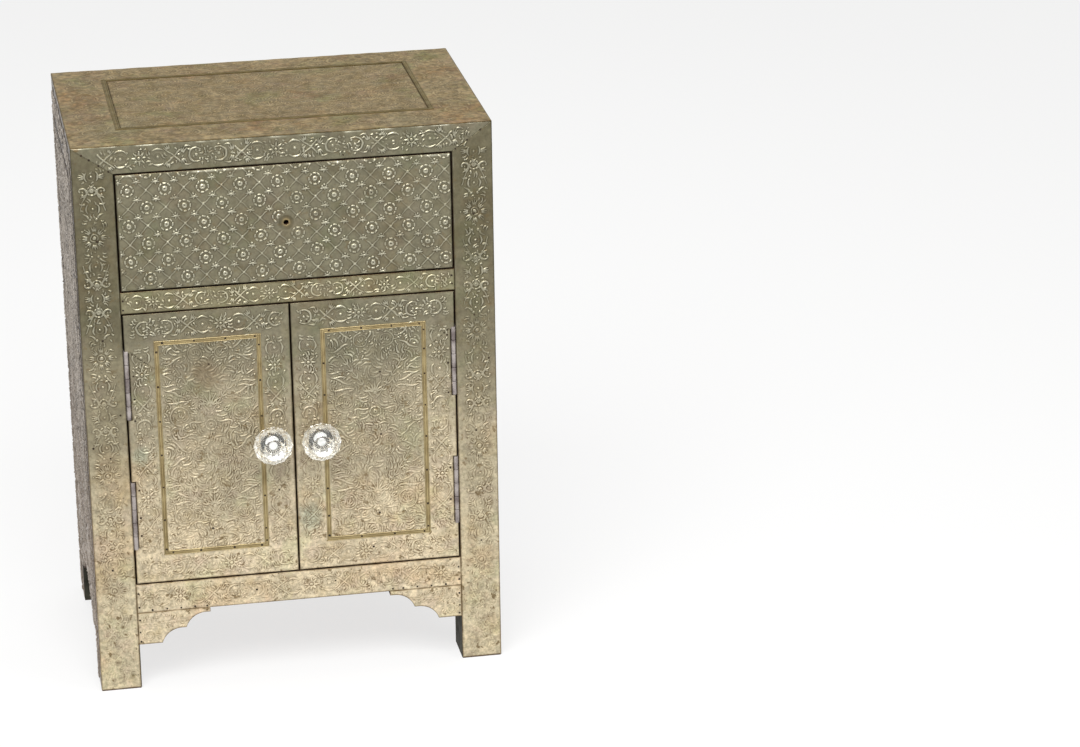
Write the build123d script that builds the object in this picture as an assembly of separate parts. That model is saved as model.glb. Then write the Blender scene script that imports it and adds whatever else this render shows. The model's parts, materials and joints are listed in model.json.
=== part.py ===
from build123d import *
from math import cos, pi
import os

# Bedside cabinet: a wooden carcass with one drawer over a two-door cupboard, clad in thin
# embossed white metal sheet that is nailed on.
# Frame: millimetres, +X to the right, +Y to the back, +Z up. The origin is on the floor, at the
# centre of the whole footprint, with the door knobs that stand out in front counted in it.

# ---- Driving dimensions -------------------------------------------------------------------

# Outside of the clad carcass
width = 430.0
depth = 285.0
height = 600.0
sheet = 0.6  # thickness of the metal sheet

# Legs and boards
leg_width = 42.0
leg_depth = 42.0
rail_thickness = 22.0
back_rail_thickness = 18.0
top_board_thickness = 16.0
side_board_thickness = 14.0
shelf_thickness = 12.0  # cupboard floor and drawer divider
back_panel_thickness = 6.0
back_panel_inset = 8.0  # from the back face of the legs

# Heights of the front, from the floor up; the door opening takes what is left
foot_height = 50.0
bracket_height = 36.0
bottom_rail_height = 32.5
mid_rail_height = 23.0
drawer_opening_height = 127.0
top_rail_height = 30.0  # includes the edge of the top board
back_rail_height = 30.0

# Stepped brackets below the rails
bracket_length = 77.0
bracket_level = 25.0  # level stretch beside the leg
bracket_lip = 5.0  # square end at the tip
cove_count = 2
cove_run = 5.0  # short level run above each cove
arch_crown = 12.0  # level stretch between the two brackets of a side

# Joinery
tenon_length = 14.0
tenon_thickness = 10.0
tenon_shoulder = 3.0  # above and below a tenon
tongue_length = 6.0
tongue_thickness = 6.0
joint_clearance = 0.1  # round a tenon or tongue
cleat_size = 15.0

# Doors
reveal = 1.5  # gap round each door and round the drawer
door_thickness = 18.0  # with its sheet
meeting_bevel = 1.0  # taken off the back of each meeting edge
trim_margin = 30.0  # door edge to the trim strip
trim_width = 5.0
trim_thickness = 0.6
stop_height = 15.0
stop_depth = 15.0
stop_clearance = 0.4  # closed door to its stop
magnet_width = 20.0
magnet_height = 8.0
magnet_depth = 4.0
strike_rim = 1.5  # the strike plate beyond the magnet, all round
strike_thickness = 1.5
catch_inset = 40.0  # door's meeting edge to the catch

# Hinges
hinge_length = 76.0
hinge_margin = 38.5  # door end to the nearer end of a hinge
barrel_radius = 2.5
barrel_depth = 1.2  # front face of the cabinet to the hinge's axis
barrel_clearance = 0.3  # barrel to the wood beside it
knuckle_count = 5
knuckle_gap = 0.3
leaf_thickness = 1.2
leaf_width = 14.0
hinge_pin_radius = 1.3
pin_clearance = 0.05
mortise_clearance = 0.5
seat_clearance = 0.05  # round a magnet, strike plate or bolt in its seat

# Knobs
knob_inset = 24.5  # door's meeting edge to the knob's axis
knob_rise = 4.0  # above the middle of the door
knob_reach = 40.0  # from the front face to the knob's tip
knob_radius = 20.5
knob_neck_radius = 7.5
knob_neck_height = 5.0
knob_neck_flare = 1.5
knob_face_radius = 12.0
knob_girth_height = 5.0  # width of the widest band
knob_crown_height = 11.0  # from the widest band to the tip
knob_facets = 12
knob_base_radius = 8.5
knob_base_rim = 1.5
knob_base_height = 5.0
knob_bolt_radius = 2.5
knob_bolt_grip = 14.0  # length of bolt inside the glass
knob_hole_radius = 2.75  # in the doors and in the drawer front
nut_radius = 4.6
nut_height = 4.0
washer_radius = 6.5
washer_thickness = 1.2
bolt_end = 1.5  # bolt beyond the nut

# Drawer
drawer_front_thickness = 18.0  # with its sheet
drawer_board = 10.0  # sides and back
drawer_side_height = 112.0
drawer_back_room = 14.0  # drawer to the cabinet's back panel
drawer_bottom_thickness = 4.0
drawer_bottom_rise = 8.0  # under edge of the sides to the bottom panel
drawer_groove = 5.0
drawer_running = 0.4  # under the sides
drawer_stop_clearance = 0.4
drawer_stop_width = 24.0
drawer_stop_height = 12.0
guide_height = 25.0
kicker_clearance = 1.6  # over the drawer sides
kicker_width = 45.0

# Cladding
foot_reveal = 1.0  # bare wood under the lower edge of the sheets
side_border = 42.0  # border sheets of the sides
side_panel_foot = 155.0  # floor to the middle sheet of the sides
seam = 1.0  # open seam round the middle sheet of a side
top_border_side = 56.0
top_border_back = 47.0
top_border_front = 60.0
top_trim_setback = 0.5  # strips of the top to the seam inside them

# ---- Levels and planes worked out from them ---------------------------------------------------

x_side = width / 2
y_front = -(depth + knob_reach) / 2 + knob_reach
y_back = y_front + depth
x_wood = x_side - sheet
y_wood = y_front + sheet
z_wood = height - sheet
x_leg = x_side - leg_width  # inner face of a leg
y_leg_front = y_front + leg_depth
y_leg_back = y_back - leg_depth
z_rail = foot_height + bracket_height
z_floor = z_rail + bottom_rail_height
z_drawer_top = height - top_rail_height
z_divider = z_drawer_top - drawer_opening_height
z_door_top = z_divider - mid_rail_height
z_under_top = z_wood - top_board_thickness
x_panel = x_wood - side_board_thickness  # inner face of a side
y_panel = y_back - back_panel_inset - back_panel_thickness  # inner face of the back
y_back_rail = y_back - back_rail_thickness

door_left = -x_leg + reveal
door_right = -reveal / 2
door_bottom = z_floor + reveal
door_top = z_door_top - reveal
y_door_back = y_front + door_thickness
knob_x = door_right - knob_inset
knob_z = (door_bottom + door_top) / 2 + knob_rise
catch_x = door_right - catch_inset
catch_z = z_door_top - stop_height / 2

hinge_x = -x_leg + barrel_radius + barrel_clearance
hinge_y = y_front + barrel_depth
hinge_bottoms = (door_bottom + hinge_margin, door_top - hinge_margin - hinge_length)
door_edge_seat = hinge_x + barrel_radius + barrel_clearance  # foot of the hinge mortise

drawer_x = x_leg - reveal
drawer_centre = (z_divider + z_drawer_top) / 2
drawer_bottom_edge = z_divider + drawer_running
y_drawer_back = y_panel - drawer_back_room
y_drawer_front = y_front + drawer_front_thickness
side_rabbet = drawer_front_thickness / 2  # depth that a drawer side enters the front


# ---- Helpers ------------------------------------------------------------------------------


def block(x0, x1, y0, y1, z0, z1):
    """A box between two corners."""
    middle = Pos((x0 + x1) / 2, (y0 + y1) / 2, (z0 + z1) / 2)
    return middle * Box(abs(x1 - x0), y1 - y0, z1 - z0)


def grown(x0, x1, y0, y1, z0, z1, by):
    """The same box with a clearance all round."""
    return block(x0 - by, x1 + by, y0 - by, y1 + by, z0 - by, z1 + by)


def other_side(shape):
    """The right-hand twin of a left-hand piece."""
    return mirror(shape, about=Plane.YZ)


def plate(points, direction, thickness):
    """A flat sheet from its outline in space."""
    outline = make_face(Polyline(*points, close=True))
    return extrude(outline, amount=thickness, dir=direction)


def front_plate(points, thickness=sheet, y=y_front):
    """A sheet on the front, from its outline in x and z."""
    return plate([(x, y, z) for x, z in points], (0, 1, 0), thickness)


def bracket_outline(length):
    """Stepped outline of a bracket: u runs from the leg to the tip, v up from the foot."""
    step = (length - bracket_level) / cove_count
    rise = (bracket_height - bracket_lip) / cove_count
    edges = [Line((0, 0), (bracket_level, 0))]
    for index in range(cove_count):
        corner = (bracket_level + index * step, index * rise)
        crest = (corner[0] + step - cove_run, corner[1] + rise)
        edges += TangentArc(crest, corner, tangent=(-1, 0)).edges()
        edges += Line(crest, (crest[0] + cove_run, crest[1])).edges()
    tip = (length, bracket_height)
    edges += Line((length, bracket_height - bracket_lip), tip).edges()
    edges += Line(tip, (0, bracket_height)).edges()
    edges += Line((0, bracket_height), (0, 0)).edges()
    return make_face(edges)


def on_front(face, y, thickness):
    """Extrudes a face drawn in x and z backwards from the plane at y."""
    return extrude(Plane((0, y, 0), x_dir=(1, 0, 0), z_dir=(0, -1, 0)) * face, amount=-thickness)


def on_left_side(face, x, thickness):
    """Extrudes a face drawn in y and z to the right from the plane at x."""
    return extrude(Plane((x, 0, 0), x_dir=(0, 1, 0), z_dir=(1, 0, 0)) * face, amount=thickness)


# ---- Carcass ------------------------------------------------------------------------------

# Rails between the legs, by name: front and back face, under and upper edge.
rails = {
    "top_rail_front": (y_wood, y_wood + rail_thickness, z_drawer_top, z_under_top),
    "mid_rail_front": (y_wood, y_wood + rail_thickness, z_door_top, z_divider),
    "bottom_rail_front": (y_wood, y_wood + rail_thickness, z_rail, z_floor),
    "back_rail_top": (y_back_rail, y_back, z_under_top - back_rail_height, z_under_top),
    "back_rail_bottom": (y_back_rail, y_back, z_rail, z_floor),
}


def tenons(y0, y1, z0, z1, clearance):
    """The tenons at both ends of a rail, or with a clearance their mortises."""
    y = (y0 + y1) / 2
    span = (y - tenon_thickness / 2, y + tenon_thickness / 2)
    levels = (z0 + tenon_shoulder, z1 - tenon_shoulder)
    tip = x_leg + tenon_length
    left = grown(-tip, -x_leg, *span, *levels, clearance)
    right = grown(x_leg, tip, *span, *levels, clearance)
    return left, right


def back_panel_space(clearance):
    """The back panel, which stands in grooves of the back legs and rails."""
    low = z_floor - tongue_length
    high = z_under_top - back_rail_height + tongue_length
    reach = x_leg + tongue_length
    return grown(
        -reach, reach, y_panel, y_panel + back_panel_thickness, low, high, clearance
    )


def rail(name):
    """A rail between two legs, with its tenons."""
    y0, y1, z0, z1 = rails[name]
    made = block(-x_leg, x_leg, y0, y1, z0, z1)
    for tenon in tenons(y0, y1, z0, z1, 0):
        made += tenon
    if y1 == y_back:
        made -= back_panel_space(joint_clearance)
    return made


def side_tongues(z0, z1, clearance):
    """The front and back tongues of a left side board, or with a clearance their grooves."""
    x = -(x_wood + x_panel) / 2
    span = (x - tongue_thickness / 2, x + tongue_thickness / 2)
    front = grown(*span, y_leg_front - tongue_length, y_leg_front, z0, z1, clearance)
    back = grown(*span, y_leg_back, y_leg_back + tongue_length, z0, z1, clearance)
    return front, back


def side_panel():
    """The board between two legs, above the apron."""
    board = block(-x_wood, -x_panel, y_leg_front, y_leg_back, z_floor, z_under_top)
    front, back = side_tongues(z_floor, z_under_top, 0)
    return board + front + back


def side_arch_face():
    """Outline of the apron below a side, with a stepped bracket at each leg."""
    span = y_leg_back - y_leg_front
    bracket = bracket_outline((span - arch_crown) / 2)
    front = Pos(y_leg_front, foot_height) * bracket
    back = Pos(y_leg_back, foot_height) * mirror(bracket, about=Plane.YZ)
    return front + back


def side_apron():
    """The arched board below a side."""
    middle = ((y_leg_front + y_leg_back) / 2, (z_rail + z_floor) / 2)
    band = Pos(*middle) * Rectangle(y_leg_back - y_leg_front, z_floor - z_rail)
    board = on_left_side(side_arch_face() + band, -x_wood, side_board_thickness)
    front, back = side_tongues(foot_height, z_floor, 0)
    return board + front + back


def leg(back):
    """A left leg with its mortises and grooves."""
    y0, y1 = (y_leg_back, y_back) if back else (y_wood, y_leg_front)
    post = block(-x_wood, -x_leg, y0, y1, 0, z_under_top)
    for span in rails.values():
        if y0 <= span[0] < y1:
            post -= tenons(*span, joint_clearance)[0]
    for groove in side_tongues(foot_height, z_under_top, joint_clearance):
        post -= groove
    return post - back_panel_space(joint_clearance) if back else post


def front_bracket():
    """The left stepped bracket under the bottom rail."""
    face = Pos(-x_leg, foot_height) * bracket_outline(bracket_length)
    return on_front(face, y_wood, rail_thickness)


def notched_board(top, y_end):
    """A level board from the front rails to y_end, notched round the four legs."""
    board = block(-x_panel, x_panel, y_wood + rail_thickness, y_end, top - shelf_thickness, top)
    for x0, x1 in ((-x_side, -x_leg), (x_leg, x_side)):
        board -= block(x0, x1, y_front, y_leg_front, 0, height)
        board -= block(x0, x1, y_leg_back, y_back, 0, height)
    return board


def cleats():
    """Battens on the sides that carry the cupboard floor and the divider."""
    made = []
    for under in (z_floor - shelf_thickness, z_divider - shelf_thickness):
        left = block(
            -x_panel, -x_panel + cleat_size, y_leg_front, y_leg_back, under - cleat_size, under
        )
        made += [left, other_side(left)]
    return made


def drawer_guides():
    """Battens on the divider, beside the drawer."""
    left = block(
        -x_panel, -x_leg, y_leg_front, y_leg_back, z_divider, z_divider + guide_height
    )
    return [left, other_side(left)]


def drawer_kickers():
    """Battens under the top that keep the open drawer level."""
    foot = drawer_bottom_edge + drawer_side_height + kicker_clearance
    left = block(
        -x_panel, -x_panel + kicker_width, y_leg_front, y_leg_back, foot, z_under_top
    )
    return [left, other_side(left)]


def drawer_stops():
    """Blocks on the divider, behind the drawer's sides."""
    x0 = -drawer_x
    left = block(
        x0,
        x0 + drawer_stop_width,
        y_drawer_back + drawer_stop_clearance,
        y_panel,
        z_divider,
        z_divider + drawer_stop_height,
    )
    return [left, other_side(left)]


def catch_block(y, thickness, margin):
    """A block centred on the left catch, from y backwards, larger than the magnet by a margin."""
    half_width = magnet_width / 2 + margin
    half_height = magnet_height / 2 + margin
    return block(
        catch_x - half_width,
        catch_x + half_width,
        y,
        y + thickness,
        catch_z - half_height,
        catch_z + half_height,
    )


def door_stop():
    """The batten that the closed doors meet, with two magnets let into it."""
    y0 = y_door_back + stop_clearance
    batten = block(-x_leg, x_leg, y0, y0 + stop_depth, z_door_top - stop_height, z_door_top)
    pocket = catch_block(y0, magnet_depth, seat_clearance)
    batten = batten - pocket - other_side(pocket)
    magnet = catch_block(y0, magnet_depth, 0)
    return batten, [magnet, other_side(magnet)]


# ---- Cladding -----------------------------------------------------------------------------


def leg_sheet():
    """Sheet on the front of the left leg, mitred at the top corner."""
    return front_plate(
        [
            (-x_side, foot_reveal),
            (-x_leg, foot_reveal),
            (-x_leg, z_drawer_top),
            (-x_side, z_wood),
        ]
    )


def rail_sheets():
    """Sheets on the three front rails; the top one covers the top board's edge too."""
    top = front_plate(
        [(-x_side, z_wood), (-x_leg, z_drawer_top), (x_leg, z_drawer_top), (x_side, z_wood)]
    )
    middle = block(-x_leg, x_leg, y_front, y_wood, z_door_top, z_divider)
    bottom = block(-x_leg, x_leg, y_front, y_wood, z_rail, z_floor)
    return [top, middle, bottom]


def bracket_sheet():
    """Sheet on the left bracket."""
    face = Pos(-x_leg, foot_height) * bracket_outline(bracket_length)
    return on_front(face, y_front, sheet)


def side_sheets():
    """Mitred border, arched apron and middle sheet of the left side."""
    x = -x_side
    inner_front = y_front + side_border
    inner_back = y_back - side_border
    inner_top = z_wood - side_border
    outlines = {
        "front": [
            (y_wood, foot_reveal),
            (inner_front, foot_reveal),
            (inner_front, inner_top),
            (y_wood, z_wood),
        ],
        "back": [
            (y_back, foot_reveal),
            (inner_back, foot_reveal),
            (inner_back, inner_top),
            (y_back, z_wood),
        ],
        "top": [
            (y_wood, z_wood),
            (inner_front, inner_top),
            (inner_back, inner_top),
            (y_back, z_wood),
        ],
    }
    made = [
        plate([(x, y, z) for y, z in outline], (1, 0, 0), sheet)
        for outline in outlines.values()
    ]
    band_middle = ((y_leg_front + y_leg_back) / 2, (z_rail + side_panel_foot) / 2)
    band = Pos(*band_middle) * Rectangle(y_leg_back - y_leg_front, side_panel_foot - z_rail)
    apron = on_left_side(side_arch_face() + band, x, sheet)
    apron -= block(x, -x_wood, y_front, inner_front, 0, height)
    apron -= block(x, -x_wood, inner_back, y_back, 0, height)
    middle = block(
        x,
        -x_wood,
        inner_front + seam,
        inner_back - seam,
        side_panel_foot + seam,
        inner_top - seam,
    )
    return made + [apron, middle]


def foot_sleeves():
    """Sheet round the inner faces of the four feet, below the brackets."""
    made = []
    for y_leg, way in ((y_leg_front, 1), (y_leg_back, -1)):
        y_outer = y_wood if way > 0 else y_back
        low, high = sorted((y_outer, y_leg + way * sheet))
        wrap = block(-x_wood, -x_leg + sheet, low, high, foot_reveal, foot_height)
        low, high = sorted((y_outer, y_leg))
        wrap -= block(-x_side, -x_leg, low, high, 0, foot_height)
        made += [wrap, other_side(wrap)]
    return made


def picture_frame(x0, x1, y0, y1, inset, strip):
    """Four mitred strips: outlines in the plane, at an inset from a rectangle."""
    left, right, low, high = x0 + inset, x1 - inset, y0 + inset, y1 - inset
    corners = [(left, low), (right, low), (right, high), (left, high)]
    inner = [
        (left + strip, low + strip),
        (right - strip, low + strip),
        (right - strip, high - strip),
        (left + strip, high - strip),
    ]
    return [
        [corners[i], corners[(i + 1) % 4], inner[(i + 1) % 4], inner[i]] for i in range(4)
    ]


top_inner = (
    -x_side + top_border_side,
    x_side - top_border_side,
    y_front + top_border_front,
    y_back - top_border_back,
)


def top_sheets():
    """Mitred border and middle sheet of the top."""
    x0, x1, y0, y1 = top_inner
    outer = [(-x_side, y_front), (x_side, y_front), (x_side, y_back), (-x_side, y_back)]
    inner = [(x0, y0), (x1, y0), (x1, y1), (x0, y1)]
    made = []
    for i in range(4):
        nxt = (i + 1) % 4
        outline = [outer[i], outer[nxt], inner[nxt], inner[i]]
        made.append(plate([(x, y, z_wood) for x, y in outline], (0, 0, 1), sheet))
    made.append(block(x0, x1, y0, y1, z_wood, height))
    return made


def top_trim():
    """Strips on the border of the top, along its seam with the middle sheet."""
    strips = picture_frame(*top_inner, -trim_width - top_trim_setback, trim_width)
    return [
        plate([(x, y, height) for x, y in outline], (0, 0, 1), trim_thickness)
        for outline in strips
    ]


# ---- Hinges -------------------------------------------------------------------------------


def hinge_leaves(side, own_knuckles):
    """The leaves of both left hinges: side is -1 on the leg, with the pin, 1 on the door."""
    seat = hinge_x + side * (barrel_radius + barrel_clearance)
    face = seat - side * leaf_thickness
    pitch = hinge_length / knuckle_count
    pin = Cylinder(hinge_pin_radius, hinge_length - knuckle_gap)
    bore = Cylinder(hinge_pin_radius + pin_clearance, hinge_length)
    made = []
    for bottom in hinge_bottoms:
        leaf = block(
            min(seat, face),
            max(seat, face),
            hinge_y,
            hinge_y + leaf_width,
            bottom,
            bottom + hinge_length,
        )
        for index in range(knuckle_count):
            low = bottom + index * pitch
            if index in own_knuckles:
                middle = Pos(hinge_x, hinge_y, low + pitch / 2)
                leaf += middle * Cylinder(barrel_radius, pitch - knuckle_gap)
            else:
                room = barrel_radius + knuckle_gap
                leaf -= block(
                    hinge_x - 2 * room,
                    hinge_x + 2 * room,
                    hinge_y - room,
                    hinge_y + room,
                    low - knuckle_gap / 2,
                    low + pitch + knuckle_gap / 2,
                )
        axis = Pos(hinge_x, hinge_y, bottom + hinge_length / 2)
        made.append(leaf - axis * bore if side > 0 else leaf + axis * pin)
    return made


def hinge_mortises():
    """Room in the left door's edge for its hinges, open to the front."""
    return [
        block(
            -x_leg,
            door_edge_seat,
            y_front - barrel_radius,
            hinge_y + leaf_width,
            bottom - mortise_clearance,
            bottom + hinge_length + mortise_clearance,
        )
        for bottom in hinge_bottoms
    ]


# ---- Doors --------------------------------------------------------------------------------


def knob_axis(y):
    """A frame on the left knob's axis at y, its z axis pointing out of the front."""
    return Location((knob_x, y, knob_z), (90, 0, 0))


def knob_hole(x, z):
    """The bolt hole through a door or the drawer front."""
    thickness = max(door_thickness, drawer_front_thickness)
    return Location((x, y_front + thickness / 2, z), (90, 0, 0)) * Cylinder(
        knob_hole_radius, thickness
    )


def door_board():
    """The left door's board, bevelled at the meeting edge."""
    outline = [
        (door_left, y_wood, door_bottom),
        (door_right, y_wood, door_bottom),
        (door_right - meeting_bevel, y_door_back, door_bottom),
        (door_left, y_door_back, door_bottom),
    ]
    board = plate(outline, (0, 0, 1), door_top - door_bottom)
    for mortise in hinge_mortises():
        board -= mortise
    board -= knob_hole(knob_x, knob_z)
    return board - strike(seat_clearance)


def door_sheets():
    """Mitred border and middle sheet of the left door."""
    seam_line = trim_margin + trim_width / 2
    area = (door_left, door_right, door_bottom, door_top)
    made = [front_plate(outline) for outline in picture_frame(*area, 0, seam_line)]
    middle = block(
        door_left + seam_line,
        door_right - seam_line,
        y_front,
        y_wood,
        door_bottom + seam_line,
        door_top - seam_line,
    )
    made.append(middle)
    cuts = [knob_hole(knob_x, knob_z), *hinge_mortises()]
    for cut in cuts:
        made = [piece - cut for piece in made]
    return made


def door_trim():
    """Strips over the seam between border and middle sheet, cut away round the knob."""
    area = (door_left, door_right, door_bottom, door_top)
    room = knob_axis(y_front) * Cylinder(
        knob_base_radius + joint_clearance, 2 * knob_base_height
    )
    return [
        front_plate(outline, trim_thickness, y_front - trim_thickness) - room
        for outline in picture_frame(*area, trim_margin, trim_width)
    ]


def knob_glass():
    """The glass knob, cut to flat facets by turned slabs, with a blind hole for its bolt."""
    girth = knob_reach - knob_crown_height
    rings = [
        (knob_neck_radius, knob_base_height),
        (knob_neck_radius + knob_neck_flare, knob_base_height + knob_neck_height),
        (knob_radius, girth - knob_girth_height),
        (knob_radius, girth),
        (knob_face_radius, knob_reach),
    ]
    flat = cos(pi / knob_facets)  # middle of a facet over its corners
    half = [(radius * flat, rise) for radius, rise in rings]
    outline = half + [(-radius, rise) for radius, rise in reversed(half)]
    profile = make_face(Polyline(*outline, close=True))
    slab = extrude(Plane.XZ * profile, amount=knob_radius, both=True)
    glass = slab
    for index in range(1, knob_facets // 2):
        glass &= Rot(0, 0, index * 360 / knob_facets) * slab
    hole = Pos(0, 0, knob_base_height + knob_bolt_grip / 2) * Cylinder(
        knob_bolt_radius + seat_clearance, knob_bolt_grip
    )
    return knob_axis(y_front) * (glass - hole)


def knob_base():
    """The knob's metal collar, in one with its bolt."""
    profile = make_face(
        Polyline(
            (0, 0),
            (knob_base_radius, 0),
            (knob_base_radius, knob_base_rim),
            (knob_neck_radius, knob_base_height),
            (0, knob_base_height),
            close=True,
        )
    )
    collar = revolve(Plane.XZ * profile, axis=Axis.Z)
    inside = door_thickness + washer_thickness + nut_height + bolt_end
    grip = knob_base_height + knob_bolt_grip - seat_clearance
    bolt = Pos(0, 0, (grip - inside) / 2) * Cylinder(knob_bolt_radius, inside + grip)
    return knob_axis(y_front) * (collar + bolt)


def knob_nut():
    """The nut on the door's back, with its washer in one."""
    washer = Cylinder(
        washer_radius, washer_thickness, align=(Align.CENTER, Align.CENTER, Align.MAX)
    )
    nut = extrude(RegularPolygon(nut_radius, 6), amount=-nut_height)
    thickness = washer_thickness + nut_height
    bore = Pos(0, 0, -thickness / 2) * Cylinder(knob_bolt_radius + seat_clearance, thickness)
    made = washer + Pos(0, 0, -washer_thickness) * nut - bore
    return knob_axis(y_door_back) * made


def strike(clearance):
    """The steel plate let into the left door's back, or with a clearance its seat."""
    return catch_block(
        y_door_back - strike_thickness, strike_thickness, strike_rim + clearance
    )


# ---- Drawer -------------------------------------------------------------------------------


def drawer_bottom_space(clearance):
    """The drawer's bottom panel, which stands in grooves all round."""
    x = drawer_x - drawer_board + drawer_groove
    low = drawer_bottom_edge + drawer_bottom_rise
    return grown(
        -x,
        x,
        y_drawer_front - drawer_groove,
        y_drawer_back - drawer_board + drawer_groove,
        low,
        low + drawer_bottom_thickness,
        clearance,
    )


def drawer_side_space():
    """The space that the left drawer side fills."""
    return block(
        -drawer_x,
        -drawer_x + drawer_board,
        y_drawer_front - side_rabbet,
        y_drawer_back,
        drawer_bottom_edge,
        drawer_bottom_edge + drawer_side_height,
    )


def drawer_front():
    """The drawer's front board, rabbeted for the sides."""
    board = block(
        -drawer_x,
        drawer_x,
        y_wood,
        y_drawer_front,
        z_divider + reveal,
        z_drawer_top - reveal,
    )
    board -= drawer_side_space()
    board -= other_side(drawer_side_space())
    board -= drawer_bottom_space(joint_clearance)
    return board - knob_hole(0, drawer_centre)


def drawer_sheet():
    """Sheet on the drawer's front."""
    face = block(
        -drawer_x, drawer_x, y_front, y_wood, z_divider + reveal, z_drawer_top - reveal
    )
    return face - knob_hole(0, drawer_centre)


def drawer_side():
    """The left drawer side."""
    return drawer_side_space() - drawer_bottom_space(joint_clearance)


def drawer_back():
    """The drawer's back, between its sides."""
    board = block(
        -drawer_x + drawer_board,
        drawer_x - drawer_board,
        y_drawer_back - drawer_board,
        y_drawer_back,
        drawer_bottom_edge,
        drawer_bottom_edge + drawer_side_height,
    )
    return board - drawer_bottom_space(joint_clearance)


# ---- Nodes --------------------------------------------------------------------------------


def whole_part():
    """Every node by name; a list is a group of separate solids."""
    stop_batten, magnets = door_stop()
    nodes = {name: rail(name) for name in rails}
    nodes |= {
        "top_board": block(-x_wood, x_wood, y_wood, y_back, z_under_top, z_wood),
        "back_panel": back_panel_space(0),
        "cupboard_floor": notched_board(z_floor, y_back_rail),
        "drawer_divider": notched_board(z_divider, y_panel),
        "board_cleats": cleats(),
        "drawer_guides": drawer_guides(),
        "drawer_kickers": drawer_kickers(),
        "drawer_stops": drawer_stops(),
        "door_stop": stop_batten,
        "catch_magnets": magnets,
        "rail_sheets": rail_sheets(),
        "foot_sleeves": foot_sleeves(),
        "top_sheets": top_sheets(),
        "top_trim": top_trim(),
        "drawer_front": drawer_front(),
        "drawer_sheet": drawer_sheet(),
        "drawer_back": drawer_back(),
        "drawer_bottom": drawer_bottom_space(0),
    }
    frame_leaves = hinge_leaves(-1, range(0, knuckle_count, 2))
    left_pieces = {
        "leg_front": leg(back=False),
        "leg_back": leg(back=True),
        "leg_sheet": leg_sheet(),
        "bracket": front_bracket(),
        "bracket_sheet": bracket_sheet(),
        "side_panel": side_panel(),
        "side_apron": side_apron(),
        "side_sheets": side_sheets(),
        "drawer_side": drawer_side(),
        "door_board": door_board(),
        "door_sheets": door_sheets(),
        "door_trim": door_trim(),
        "door_strike": strike(0),
        "door_hinge_leaves": hinge_leaves(1, range(1, knuckle_count, 2)),
        "knob_glass": knob_glass(),
        "knob_base": knob_base(),
        "knob_nut": knob_nut(),
    }
    for name, shape in left_pieces.items():
        group = shape if isinstance(shape, list) else [shape]
        nodes["left_" + name] = group
        nodes["right_" + name] = [other_side(piece) for piece in group]
    nodes["frame_hinge_leaves"] = frame_leaves + [other_side(leaf) for leaf in frame_leaves]
    return nodes


def solids_of(shape):
    """The separate solids of a node, in one compound."""
    group = shape if isinstance(shape, list) else [shape]
    return Compound([solid for piece in group for solid in piece.solids()])


os.makedirs("parts", exist_ok=True)
for node, made in whole_part().items():
    export_step(solids_of(made), f"parts/{node}.step")
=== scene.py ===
import json
import math

import bmesh
import bpy
import numpy as np
from mathutils import Matrix, Vector


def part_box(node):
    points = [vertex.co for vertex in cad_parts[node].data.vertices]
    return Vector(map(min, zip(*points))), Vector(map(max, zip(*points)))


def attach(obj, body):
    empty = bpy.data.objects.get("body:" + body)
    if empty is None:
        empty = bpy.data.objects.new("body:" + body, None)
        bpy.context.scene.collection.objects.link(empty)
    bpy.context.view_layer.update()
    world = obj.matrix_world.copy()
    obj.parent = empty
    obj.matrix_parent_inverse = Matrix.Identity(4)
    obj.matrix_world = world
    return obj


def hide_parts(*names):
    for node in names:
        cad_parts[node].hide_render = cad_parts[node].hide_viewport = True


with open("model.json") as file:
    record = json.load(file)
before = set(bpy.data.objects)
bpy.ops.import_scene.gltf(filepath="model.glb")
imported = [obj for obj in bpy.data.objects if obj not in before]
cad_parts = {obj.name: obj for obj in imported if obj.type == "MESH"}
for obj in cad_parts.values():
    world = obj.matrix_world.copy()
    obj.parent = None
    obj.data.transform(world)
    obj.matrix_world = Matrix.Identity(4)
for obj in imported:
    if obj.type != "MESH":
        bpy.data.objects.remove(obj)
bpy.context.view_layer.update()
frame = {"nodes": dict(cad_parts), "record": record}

# Patterns are drawn in millimetres, as complex numbers: across + 1j * up on each face.
MM = 0.001
GRID = 0.575  # spacing of the relief's mesh on the front
COARSE_GRID = 1.0  # and on the sides and the top
MOST_CELLS = 93000  # in one sheet's mesh
CANVAS_STEP = 0.35  # spacing of the drawn heights
FRONT_PEAK, SIDE_PEAK, TOP_PEAK = 1.2, 1.7, 0.35  # greatest height of the relief
SIDES = ((-1, "left"), (1, "right"))


def mm_box(node):
    """Lowest and highest corner of a CAD node, in millimetres."""
    low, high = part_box(node)
    return np.array(low) / MM, np.array(high) / MM


top_low, top_high = mm_box("top_sheets")
leg_low, leg_high = mm_box("left_leg_sheet")
drawer_low, drawer_high = mm_box("drawer_sheet")
door_low, door_high = mm_box("left_door_sheets")
rail_low, rail_high = mm_box("bottom_rail_front")
middle_low, middle_high = mm_box("mid_rail_front")
bracket_low, bracket_high = mm_box("left_bracket_sheet")
side_low, side_high = mm_box("left_side_sheets")
trim_low = mm_box("left_door_trim")[0]
top_trim_low, top_trim_high = mm_box("top_trim")
knob_low = mm_box("left_knob_base")[0]
glass_low, glass_high = mm_box("left_knob_glass")
leaf_low, leaf_high = mm_box("left_door_hinge_leaves")
back_leg_low = mm_box("left_leg_back")[0]

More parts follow.
